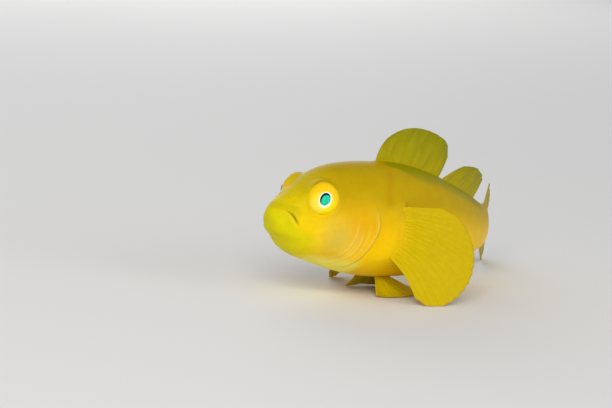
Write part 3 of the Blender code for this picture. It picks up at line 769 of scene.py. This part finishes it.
# Eyes
# Each eye is a ball with a yellow iris, a pale ring round the pupil that is partly a painted
# highlight, and a green lens whose shine, glints and shaded crescent are painted in the pupil.
# It sits in its orbit under the lids and is moved by no joint.
EYE_RINGS = 90
EYE_SIDES = 96
EYE_BALL = 1.36
IRIS_REACH = 1.30
IRIS_EDGE = 0.58
IRIS_DOME = 0.72
PUPIL_AT = (0.04, 0.02)
PUPIL_RADII = (0.44, 0.55)
PUPIL_TILT = math.radians(18.0)
PUPIL_SINK = 0.03
RING_AT = 1.14
RING_RISE = 0.012
LENS_RISE = 0.09
CRESCENT_SHIFT = (0.20, -0.34)


def eye_frame(side):
    """Centre of an eye and its axes in the frame: across to the rear, up, and out."""
    centre = axis_place(np.array(EYE_AT) * (1.0, side, 1.0))
    ahead = np.array(EYE_AT) + unit(np.array(EYE_LOOK))
    out = unit(axis_place(ahead * (1.0, side, 1.0)) - centre)
    across = unit(np.cross((0.0, 0.0, 1.0), out) * side)
    return centre + SNOUT, across, np.cross(out, across) * side, out


def eye_ball(name, side, glance):
    """Eyeball with a low dome over the iris; glance turns its pupil forward in the orbit."""
    share = np.linspace(0.0, 1.0, EYE_RINGS + 1)[1:-1] ** 1.35
    polar, around = ring_net(math.pi * share, EYE_SIDES)
    aside = EYE_BALL * np.sin(polar)
    u = aside * np.cos(around)
    v = aside * np.sin(around)
    from_pupil_u = u - PUPIL_AT[0] + glance
    from_pupil_v = v - PUPIL_AT[1]
    cosine = math.cos(PUPIL_TILT)
    sine = math.sin(PUPIL_TILT)
    pupil = np.hypot(
        (from_pupil_u * cosine - from_pupil_v * sine) / PUPIL_RADII[0],
        (from_pupil_u * sine + from_pupil_v * cosine) / PUPIL_RADII[1],
    )
    pupil = np.where(polar > 1.6, 9.0, pupil)
    edge = math.asin(IRIS_REACH / EYE_BALL)
    front = IRIS_EDGE + IRIS_DOME * (1.0 - np.minimum(aside / IRIS_REACH, 1.0) ** 2)
    step = IRIS_EDGE - EYE_BALL * math.cos(edge)
    rear = EYE_BALL * np.cos(polar) + step * ease(1.0 - (polar - edge) / 0.5)
    ahead = np.where(polar < edge, front, rear)
    ahead = ahead - PUPIL_SINK * ease((1.08 - pupil) / 0.12) + LENS_RISE * ease(1.0 - pupil**2)
    ahead = ahead + RING_RISE * bump(pupil - RING_AT, 0.10)
    centre, across, up, out = eye_frame(side)
    local_ball = across * u[..., None] + up * v[..., None] + out * ahead[..., None]
    ends = [out * ahead[0].mean(), -out * EYE_BALL]
    points = np.concatenate([local_ball.reshape(-1, 3), ends]) + centre
    ball = mesh_object(name, points * MM, tube_faces(*polar.shape))
    if side < 0.0:
        ball.data.flip_normals()
    inner_u = from_pupil_u / PUPIL_RADII[0] - CRESCENT_SHIFT[0]
    inner_v = from_pupil_v / PUPIL_RADII[1] - CRESCENT_SHIFT[1]
    crescent = np.hypot(inner_u, inner_v)
    set_tube_marks(ball, {
        "across": from_pupil_u, "upward": v, "pupil": pupil, "crescent": crescent,
    })
    return ball


IRIS_YELLOW = linear(252, 206, 0)
IRIS_LOW = linear(255, 244, 0)
IRIS_RIM = linear(236, 188, 0)
RING_CREAM_HIGHLIGHT = linear(255, 252, 214)
RING_HIGHLIGHT_GLOW = linear(255, 240, 120)
LENS_GREEN_SHINE = linear(0, 208, 118)
LENS_CYAN_GLINT = linear(0, 190, 186)
LENS_BRIGHT_GLINT = linear(40, 232, 172)
LENS_NAVY_SHADE = linear(0, 10, 82)

paint = Paint("goby_eye")
across = paint.mark("across")
upward = paint.mark("upward")
pupil = paint.mark("pupil")
iris = paint.ramp(paint.weigh(0.5, (upward, 0.4)), ((0.15, IRIS_LOW), (0.75, IRIS_YELLOW)))
reach = paint.math("SQRT", paint.math(
    "ADD", paint.math("MULTIPLY", across, across), paint.math("MULTIPLY", upward, upward),
))
rim = paint.weigh(-1.0, (reach, 1.0), gain=3.0)
iris = paint.mix(paint.math("MULTIPLY", rim, 0.8), iris, IRIS_RIM)
iris = paint.mottle(iris, 0.55, (0.90, 0.84, 0.60), (0.35, 0.6), 9000.0, 4.0, 0.7)
# The pale ring round the pupil is partly the iris's own shiny inner ring and partly a painted highlight,
# stronger below. Its halo is a painted glow.
ring_and_highlight = paint.weigh(1.32, (pupil, -1.0), (upward, -0.22), (across, 0.14), gain=5.5)
painted_halo = paint.weigh(1.65, (pupil, -1.0), (across, -0.8), (upward, -0.5), gain=0.9)
iris = paint.mix(paint.math("MULTIPLY", painted_halo, 0.6), iris, RING_HIGHLIGHT_GLOW)
iris = paint.mix(ring_and_highlight, iris, RING_CREAM_HIGHLIGHT)
# The lens's green is a painted shine, spotted with painted glints of cyan and pale green.
glow = paint.ramp(paint.noise(4600.0, 2.0, 0.5), (
    (0.44, LENS_GREEN_SHINE), (0.56, LENS_CYAN_GLINT), (0.66, LENS_BRIGHT_GLINT),
))
# The navy crescent at the pupil's upper edge is painted shade.
shade = paint.weigh(-0.90, (paint.mark("crescent"), 1.0), gain=9.0)
glow = paint.mix(shade, glow, LENS_NAVY_SHADE)
iris = paint.mix(paint.weigh(1.0, (pupil, -1.0), gain=16.0), iris, glow)
paint.set(
    Base_Color=iris,
    Roughness=0.35,
    Subsurface_Weight=0.1,
    Subsurface_Radius=(1.0, 0.7, 0.1),
    Subsurface_Scale=0.0003,
    Specular_IOR_Level=0.15,
    Coat_Weight=0.25,
    Coat_Roughness=0.10,
    Coat_IOR=1.34,
)
eye_paint = paint.material
for side, word, glance in ((1.0, "left", 0.0), (-1.0, "right", 0.62)):
    ball = eye_ball("eyeball_" + word, side, glance)
    ball.data.materials.append(eye_paint)
    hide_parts("eye_" + word)
    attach(ball, "root")

# Webs of the fins
# Each fin is a thin web of skin, stretched between rays and notched between their tips.
# It rises out of the body from a thick, fleshy root.
WEB_ROOT = 0.10
WEB_HALF = 0.017
WEB_TIP = 0.010
WEB_CORNER = 0.045
ROOT_SINK = 0.30
FIN_BOW = 0.05
FIRST_DORSAL_BOW = (0.12, -0.036)
GAP = 0.3
FIRST_DORSAL_BASE = (9.85, 17.3)
FIRST_DORSAL_TIPS = (
    (10.9, 2.25), (12.4, 3.0), (13.9, 3.33), (15.4, 3.45), (16.9, 3.38), (18.2, 3.05), (18.62, 2.38),
)
SECOND_DORSAL_BASE = (17.65, 24.6)
SECOND_DORSAL_SWEEP = (4.5, 4.0)
SECOND_DORSAL_BOW = (0.25, 0.075)
SECOND_DORSAL_HEIGHT = 2.25
SECOND_DORSAL_SWELL = (0.25, 0.5)
ANAL_BASE = (19.3, 24.6)
ANAL_SWEEP = (3.0, 3.4)
ANAL_HEIGHT = 1.15
ANAL_SWELL = 0.25
CAUDAL_MIDDLE = 0.1
CAUDAL_SPREAD = math.radians(21.0)
CAUDAL_ROOT = 1.8
CAUDAL_LENGTH = 7.6
CAUDAL_ROUND = 1.9
PECTORAL_FAN = (math.radians(-4.0), math.radians(62.0))
PECTORAL_LENGTH = 6.6
PECTORAL_EDGES = 0.7
PECTORAL_OUT = (math.radians(11.0), math.radians(27.0))
PECTORAL_LIFT = (0.20, 0.52)
PECTORAL_BOW = 0.11
PELVIC_AT = 11.2
PELVIC_SPREAD = math.radians(100.0)
PELVIC_ROOT = (0.5, 0.7)
PELVIC_LENGTH = (2.0, 5.4)
PELVIC_NARROW = 0.5
FIN_TIP = 0.12


def floor_at(s):
    """Height of the floor off the axis at s."""
    return (FLOOR + math.sin(PITCH) * s) / math.cos(PITCH)


def end_on_floor(length, s, z, angle):
    """Shorten rays that leave s, z down at angle so that they end on the floor."""
    fall = np.sin(angle) * math.cos(PITCH) + np.cos(angle) * math.sin(PITCH)
    height = (z - floor_at(s)) * math.cos(PITCH)
    return np.where(fall > 0.2, np.minimum(length, height / np.maximum(fall, 0.2)), length)


def upright(s, z):
    """Places on the fish's middle plane."""
    return np.stack([s, np.zeros_like(s), z], -1)


def first_dorsal_path(q, t):
    """Six spines and the web's rear edge, bowed forward, round in outline."""
    base = part_way(FIRST_DORSAL_BASE, q)
    share = np.linspace(0.0, 1.0, len(FIRST_DORSAL_TIPS))
    tip = spline(share, [p[0] for p in FIRST_DORSAL_TIPS])(q)
    height = spline(share, [p[1] for p in FIRST_DORSAL_TIPS])(q)
    z = edge_of(TOP, base) - ROOT_SINK
    end = edge_of(TOP, tip) + height
    bow = 4.0 * part_way(FIRST_DORSAL_BOW, q) * t * (1.0 - t)
    s = base + (tip - base) * t - bow * (end - z)
    return upright(s, z + (end - z) * t + bow * (tip - base))


def second_dorsal_path(q, t):
    """A spine and nine rays, laid back, the middle ones longest, the spine bowed."""
    base = part_way(SECOND_DORSAL_BASE, q)
    swell = np.sin(math.pi * q)
    tip = base + part_way(SECOND_DORSAL_SWEEP, q) + SECOND_DORSAL_SWELL[0] * swell
    height = SECOND_DORSAL_HEIGHT + SECOND_DORSAL_SWELL[1] * swell
    z = edge_of(TOP, base) - ROOT_SINK
    end = edge_of(TOP, tip) + height
    bow = 4.0 * part_way(SECOND_DORSAL_BOW, q) * t * (1.0 - t)
    return upright(base + (tip - base) * t, z + (end - z) * t + bow)


def anal_path(q, t):
    """A spine and seven rays, laid back under the belly."""
    base = part_way(ANAL_BASE, q)
    tip = base + part_way(ANAL_SWEEP, q)
    height = ANAL_HEIGHT + ANAL_SWELL * np.sin(math.pi * q)
    z = -edge_of(BOTTOM, base) + ROOT_SINK
    end = -edge_of(BOTTOM, tip) - height
    return upright(base + (tip - base) * t, z + (end - z) * t - 4.0 * FIN_BOW * t * (1.0 - t))


def caudal_path(q, t):
    """Thirteen main rays of the rounded tail fin, its lower edge on the floor."""
    share = 2.0 * q - 1.0
    angle = CAUDAL_SPREAD * share
    base_s = BODY_LENGTH + GAP / 2.0
    base_z = CAUDAL_MIDDLE + CAUDAL_ROOT * share
    length = CAUDAL_LENGTH - CAUDAL_ROUND * np.abs(share) ** 3
    length = end_on_floor(length, base_s, base_z, -angle)
    along = length * t - ROOT_SINK * (1.0 - t)
    return upright(base_s + along * np.cos(angle), base_z + along * np.sin(angle))


def flank(s, z):
    """Distance of the skin from the middle plane at s and z, on the flank."""
    root = np.sqrt(s)
    middle = WIDEST(root)
    reach = np.where(z >= middle, TOP(root) - middle, BOTTOM(root) + middle)
    drop = np.clip(np.abs(z - middle) / reach, 0.0, 0.99)
    return HALF(root) * (1.0 - drop ** POWER(root)) ** (1.0 / POWER(root))


def pectoral_path(q, t):
    """Rays leave the flank nearly level and bend down to a fan, more so the lower ones."""
    base_s = PECTORAL_AT[0] + PECTORAL_ROOT_BOW * np.sin(math.pi * q)
    base_z = PECTORAL_AT[1] - PECTORAL_ROOT * q
    angle = part_way(PECTORAL_FAN, q)
    round_edge = PECTORAL_EDGES + (1.0 - PECTORAL_EDGES) * np.sin(math.pi * q**0.85)
    length = PECTORAL_LENGTH * round_edge
    length = end_on_floor(length, base_s, base_z, angle)
    bow = 4.0 * PECTORAL_BOW * ease(q / 0.5) * t * (1.0 - t)
    s = base_s + length * (np.cos(angle) * t + np.sin(angle) * bow)
    z = base_z - length * (np.sin(angle) * t - np.cos(angle) * bow)
    start = flank(base_s, base_z) + part_way(PECTORAL_LIFT, ease(q / 0.3) * ease(t / 0.45))
    return np.stack([s, start + length * np.sin(part_way(PECTORAL_OUT, q)) * t**1.5, z], -1)


def pelvic_path(q, t):
    """Fused pelvic fins: rays radiate from a root under the belly to a rim on the floor."""
    angle = PELVIC_SPREAD * (2.0 * q - 1.0)
    reach = np.cos(angle / 2.0) ** 2
    length = part_way(PELVIC_LENGTH, reach)
    s = PELVIC_AT + (PELVIC_ROOT[0] + length * t) * np.cos(angle)
    y = (PELVIC_ROOT[1] + PELVIC_NARROW * length * t) * np.sin(angle)
    root = -edge_of(BOTTOM, PELVIC_AT) + ROOT_SINK
    rim = floor_at(s) + FIN_TIP
    return np.stack([s, y, root + (rim - root) * ease(t)], -1)


FINS = {
    "first_dorsal": dict(
        path=first_dorsal_path, node="first_dorsal_fin", rays=7, forks=0, rows=44, notch=0.0,
        corner=0.09, warmth=0.0, girth=0.030, sag=0.10,
    ),
    "second_dorsal": dict(
        path=second_dorsal_path, node="second_dorsal_fin", rays=10, forks=1, rows=40, notch=0.02,
        corner=0.03, warmth=0.1, girth=0.036, sag=0.07,
    ),
    "anal": dict(
        path=anal_path, node="anal_fin", rays=8, forks=1, rows=32, notch=0.03, corner=0.0,
        warmth=0.6, girth=0.036, sag=0.05,
    ),
    "caudal": dict(
        path=caudal_path, node="caudal_fin", rays=13, forks=2, rows=50, notch=0.01, corner=0.08,
        warmth=0.4, girth=0.06, sag=0.06,
    ),
    "pelvic": dict(
        path=pelvic_path, node="pelvic_disc", rays=11, forks=1, rows=40, notch=0.02, corner=0.10,
        warmth=1.0, girth=0.06, sag=0.08,
    ),
}
for word in ("left", "right"):
    FINS["pectoral_" + word] = dict(
        path=pectoral_path, node="pectoral_fin_" + word, rays=16, forks=2, rows=56, notch=0.01,
        corner=0.12, warmth=1.0, girth=0.062, sag=0.035,
    )
COLUMNS_PER_RAY = 12


def fin_reach(fin, q):
    """Length of the fin at q as a share of its full length: rounded at both corners."""
    return 1.0 - fin["corner"] * (bump(q, WEB_CORNER) + bump(1.0 - q, WEB_CORNER))


def fin_surface(name, q, t):
    """Places on the middle of a fin's web, sagging between its rays, and its normals there."""
    fin = FINS[name]
    side = -1.0 if name.endswith("right") else 1.0
    small = 1e-3

    def at(q_at, t_at):
        return axis_place(fin["path"](np.clip(q_at, 0.0, 1.0), np.clip(t_at, 0.0, 1.1)) * (1.0, side, 1.0))

    over = at(q + small, t) - at(q - small, t)
    normal = unit(np.cross(over, at(q, t + small) - at(q, t - small)))
    between = np.abs(np.sin(math.pi * q * (fin["rays"] - 1)))
    wave = fin["sag"] * between * np.sin(1.9 * q * fin["rays"] + 5.0 * t) * ease(t / 0.3)
    return at(q, t) + normal * wave[..., None], normal, between


def fin_web(name):
    """Web of a fin: two skins with a closed border."""
    fin = FINS[name]
    q = np.linspace(0.0, 1.0, (fin["rays"] - 1) * COLUMNS_PER_RAY + 1)[:, None]
    t = np.linspace(0.0, 1.0, fin["rows"])[None, :]
    notch = 1.0 - fin["notch"] * np.abs(np.sin(math.pi * q * (fin["rays"] - 1)))
    share = t * notch * fin_reach(fin, q)
    q = np.broadcast_to(q, share.shape)
    middle, normal, between = fin_surface(name, q, share)
    half = part_way((WEB_HALF, WEB_ROOT), ease(1.0 - share / 0.14))
    half = part_way((half, WEB_TIP), ease((share - 0.6) / 0.4))
    sides = [middle + normal * half[..., None], middle - normal * half[..., None]]
    points = np.concatenate([f.reshape(-1, 3) for f in sides])
    points[:, 2] = np.maximum(points[:, 2], FLOOR + 0.01)
    columns, rows = share.shape
    count = columns * rows
    faces = []
    for i in range(columns - 1):
        for j in range(rows - 1):
            a = i * rows + j
            faces.append((a, a + rows, a + rows + 1, a + 1))
            faces.append((count + a, count + a + 1, count + a + rows + 1, count + a + rows))
    border = [(i, 0) for i in range(columns)]
    border += [(columns - 1, j) for j in range(1, rows)]
    border += [(i, rows - 1) for i in range(columns - 2, -1, -1)]
    border += [(0, j) for j in range(rows - 2, 0, -1)]
    for (i, j), (k, m) in zip(border, border[1:] + border[:1]):
        a = i * rows + j
        b = k * rows + m
        faces.append((a, count + a, count + b, b))
    thing = mesh_object(name + "_web", (points + SNOUT) * MM, faces)
    shape = bmesh.new()
    shape.from_mesh(thing.data)
    bmesh.ops.recalc_face_normals(shape, faces=shape.faces)
    shape.to_mesh(thing.data)
    shape.free()
    set_marks(thing, {
        "reach": [share, share],
        "between": [between, between],
        "warmth": np.full(2 * count, fin["warmth"]),
    })
    return thing


WEB_ROOT_YELLOW = linear(182, 160, 0)
WEB_OLIVE = linear(166, 154, 0)
WEB_EDGE = linear(140, 136, 0)
WEB_GOLD = linear(202, 174, 0)

paint = Paint("goby_web")
colour = paint.ramp(paint.mark("reach"), (
    (0.0, WEB_ROOT_YELLOW), (0.30, WEB_OLIVE), (1.0, WEB_EDGE),
))
colour = paint.mix(paint.mark("warmth"), colour, WEB_GOLD)
root = paint.math("MULTIPLY", paint.weigh(1.0, (paint.mark("reach"), -4.0)), paint.mark("warmth"))
colour = paint.mix(root, colour, YELLOW_FLANK)
colour = paint.mottle(colour, 0.8, (0.90, 0.90, 0.7), (0.3, 0.7), 3200.0, 3.0, 0.6)
clear = paint.math("MULTIPLY", paint.mark("reach"), paint.mark("between"))
paint.set(
    Base_Color=colour,
    Roughness=0.45,
    Alpha=paint.weigh(1.0, (clear, -0.03)),
    Normal=paint.bumps(((paint.noise(9000.0, 2.0), 0.3, 0.00002),)),
    **WET,
)
web_paint = paint.material
for name, fin in FINS.items():
    thing = fin_web(name)
    thing.data.materials.append(web_paint)
    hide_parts(fin["node"])
    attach(thing, "root")

# Rays of the fins
# Spines and branched rays are slim rods that run from the root to the edge of each web.
# Geometry Nodes turn their lines into tapered rods, one tree for all fins.
RAY_POINTS = 28
RAY_SIDES = 8
RAY_TAPER = 0.5
RAY_END = 0.975
FORKS = ((0.20, 0.25), (0.48, 0.125))
FORK_THINNING = 0.2


def ray_lines(name):
    """Lines of a fin's rays, each with its points and their radii; soft rays fork in two."""
    fin = FINS[name]
    last = fin["rays"] - 1
    lines = []
    for k in range(last + 1):
        ways = [((), 0.0)]
        if 0 < k < last:
            for start, spread in FORKS[:fin["forks"]]:
                ways = [(signs + (-1.0,), begin) for signs, begin in ways] + [
                    (signs + (1.0,), start) for signs, begin in ways
                ]
        for signs, begin in ways:
            t = np.linspace(begin, 1.0, RAY_POINTS)
            q = np.full(RAY_POINTS, float(k))
            radius = fin["girth"] * (1.0 - RAY_TAPER * t)
            for sign, (start, spread) in zip(signs, FORKS):
                q = q + sign * spread * np.clip((t - start) / (1.0 - start), 0.0, 1.0) ** 0.8
                radius = radius * (1.0 - FORK_THINNING * ease((t - start) / 0.2))
            q = q / last
            place, normal, between = fin_surface(name, q, RAY_END * t * fin_reach(fin, q))
            lines.append((place, radius))
    return lines


def rod_tree():
    """Geometry Nodes: edges with a girth at each point become tapered rods."""
    tree = bpy.data.node_groups.new("ray_rods", "GeometryNodeTree")
    tree.interface.new_socket("Geometry", in_out="OUTPUT", socket_type="NodeSocketGeometry")
    keys = {}
    for name, kind in (
        ("Geometry", "Geometry"), ("Sides", "Int"), ("Girth", "Float"), ("Finish", "Material"),
    ):
        socket = tree.interface.new_socket(name, in_out="INPUT", socket_type="NodeSocket" + kind)
        keys[name] = socket.identifier
    start, curve, girth, scale, ring, rods, smooth, real, painted, end = (
        tree.nodes.new(kind) for kind in (
            "NodeGroupInput", "GeometryNodeMeshToCurve", "GeometryNodeInputNamedAttribute",
            "ShaderNodeMath", "GeometryNodeCurvePrimitiveCircle", "GeometryNodeCurveToMesh",
            "GeometryNodeSetShadeSmooth", "GeometryNodeRealizeInstances",
            "GeometryNodeSetMaterial", "NodeGroupOutput",
        )
    )
    girth.data_type = "FLOAT"
    girth.inputs["Name"].default_value = "girth"
    scale.operation = "MULTIPLY"
    ring.inputs["Radius"].default_value = 1.0
    rods.inputs["Fill Caps"].default_value = True
    for source, target in (
        (start.outputs["Geometry"], curve.inputs["Mesh"]),
        (girth.outputs["Attribute"], scale.inputs[0]),
        (start.outputs["Girth"], scale.inputs[1]),
        (start.outputs["Sides"], ring.inputs["Resolution"]),
        (curve.outputs["Curve"], rods.inputs["Curve"]),
        (scale.outputs[0], rods.inputs["Scale"]),
        (ring.outputs["Curve"], rods.inputs["Profile Curve"]),
        (rods.outputs["Mesh"], smooth.inputs["Geometry"]),
        (smooth.outputs["Geometry"], real.inputs["Geometry"]),
        (real.outputs["Geometry"], painted.inputs["Geometry"]),
        (start.outputs["Finish"], painted.inputs["Material"]),
        (painted.outputs["Geometry"], end.inputs["Geometry"]),
    ):
        tree.links.new(source, target)
    return tree, keys


def plain_result(thing, name):
    """Replace an object that carries a Geometry Nodes modifier by its finished mesh."""
    bpy.context.view_layer.update()
    ready = thing.evaluated_get(bpy.context.evaluated_depsgraph_get())
    mesh = bpy.data.meshes.new_from_object(ready)
    mesh.name = name
    thing.modifiers.clear()
    thing.data = mesh
    return thing


paint = Paint("goby_ray")
RAY_GOLD = linear(212, 186, 0)
RAY_OLIVE = linear(156, 142, 0)
colour = paint.mix(paint.mark("warmth"), RAY_OLIVE, RAY_GOLD)
colour = paint.mottle(colour, 1.0, (0.86, 0.84, 0.7), (0.3, 0.7), 2600.0, 3.0)
paint.set(Base_Color=colour, Roughness=0.42, **WET)
ray_paint = paint.material
rods, keys = rod_tree()
for name, fin in FINS.items():
    lines = ray_lines(name)
    points = np.concatenate([line for line, _ in lines])
    points[:, 2] = np.maximum(points[:, 2], FLOOR + 0.05)
    mesh = bpy.data.meshes.new(name + "_rays")
    edges = [
        (k * RAY_POINTS + i, k * RAY_POINTS + i + 1)
        for k in range(len(lines)) for i in range(RAY_POINTS - 1)
    ]
    mesh.from_pydata([tuple(p) for p in (points + SNOUT) * MM], edges, [])
    thing = add_object(name + "_rays", mesh)
    set_marks(thing, {
        "girth": np.concatenate([radius for _, radius in lines]) * MM,
        "warmth": np.full(len(points), fin["warmth"]),
    })
    modifier = thing.modifiers.new("rods", "NODES")
    modifier.node_group = rods
    modifier[keys["Sides"]] = RAY_SIDES
    modifier[keys["Girth"]] = 1.0
    modifier[keys["Finish"]] = ray_paint
    plain_result(thing, name + "_rays")
    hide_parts(fin["node"])
    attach(thing, "root")

# Floor, light and camera
# A plain pale floor under soft lamps, seen from the photograph's angle.
CAMERA_AZIMUTH = math.radians(-35.0)
CAMERA_ELEVATION = math.radians(8.0)
CAMERA_ROLL = math.radians(5.5)
CAMERA_DISTANCE = 230.0
PIXELS_PER_MM = 12.4
FRAME_SIZE = (612.0, 408.0)
SNOUT_PIXEL = (268.0, 211.5)
SENSOR = 36.0
FLOOR_HALF = 3.0

bpy.ops.mesh.primitive_plane_add(size=2.0 * FLOOR_HALF, location=(0.0, 0.0, 0.0))
ground = bpy.context.object
ground.name = "ground"
paint = Paint("pale_floor")
paint.set(Base_Color=linear(236, 234, 230), Roughness=0.75)
ground.data.materials.append(paint.material)


def aim(thing, place, target):
    """Set an object at a place, facing its target."""
    thing.location = place
    thing.rotation_euler = (Vector(target) - Vector(place)).to_track_quat("-Z", "Y").to_euler()


def lamp(name, place, size, power, colour):
    """Square soft lamp that faces the fish."""
    data = bpy.data.lights.new(name, "AREA")
    data.shape = "SQUARE"
    data.size = size
    data.energy = power
    data.color = colour
    aim(add_object(name, data), place, (0.0, 0.0, 0.006))


lamp("key", (-0.26, -0.32, 0.22), 0.25, 1.3, (1.0, 0.98, 0.94))
lamp("fill", (0.25, -0.40, 0.14), 0.30, 0.55, (1.0, 1.0, 1.0))
lamp("rim", (0.14, 0.42, 0.16), 0.30, 0.55, (1.0, 1.0, 1.0))
world = bpy.data.worlds.new("studio")
world.use_nodes = True
world.node_tree.nodes["Background"].inputs["Color"].default_value = (0.9, 0.93, 1.0, 1.0)
world.node_tree.nodes["Background"].inputs["Strength"].default_value = 0.42
bpy.context.scene.world = world
bpy.context.scene.view_settings.view_transform = "Standard"

toward = Vector((
    math.sin(CAMERA_AZIMUTH) * math.cos(CAMERA_ELEVATION),
    -math.cos(CAMERA_AZIMUTH) * math.cos(CAMERA_ELEVATION),
    math.sin(CAMERA_ELEVATION),
))
level = Vector((math.cos(CAMERA_AZIMUTH), math.sin(CAMERA_AZIMUTH), 0.0))
above = toward.cross(level)
right = level * math.cos(CAMERA_ROLL) + above * math.sin(CAMERA_ROLL)
up = -level * math.sin(CAMERA_ROLL) + above * math.cos(CAMERA_ROLL)
aside = (SNOUT_PIXEL[0] - FRAME_SIZE[0] / 2.0) / PIXELS_PER_MM
over = (FRAME_SIZE[1] / 2.0 - SNOUT_PIXEL[1]) / PIXELS_PER_MM
camera_data = bpy.data.cameras.new("camera")
camera_data.sensor_width = SENSOR
camera_data.lens = PIXELS_PER_MM * CAMERA_DISTANCE * SENSOR / FRAME_SIZE[0]
camera_data.clip_start = 0.01
camera_data.clip_end = 10.0
camera = add_object("camera", camera_data)
place = (Vector(SNOUT) - right * aside - up * over + toward * CAMERA_DISTANCE) * MM
camera.matrix_world = Matrix.Translation(place) @ Matrix((right, up, toward)).transposed().to_4x4()
bpy.context.scene.camera = camera
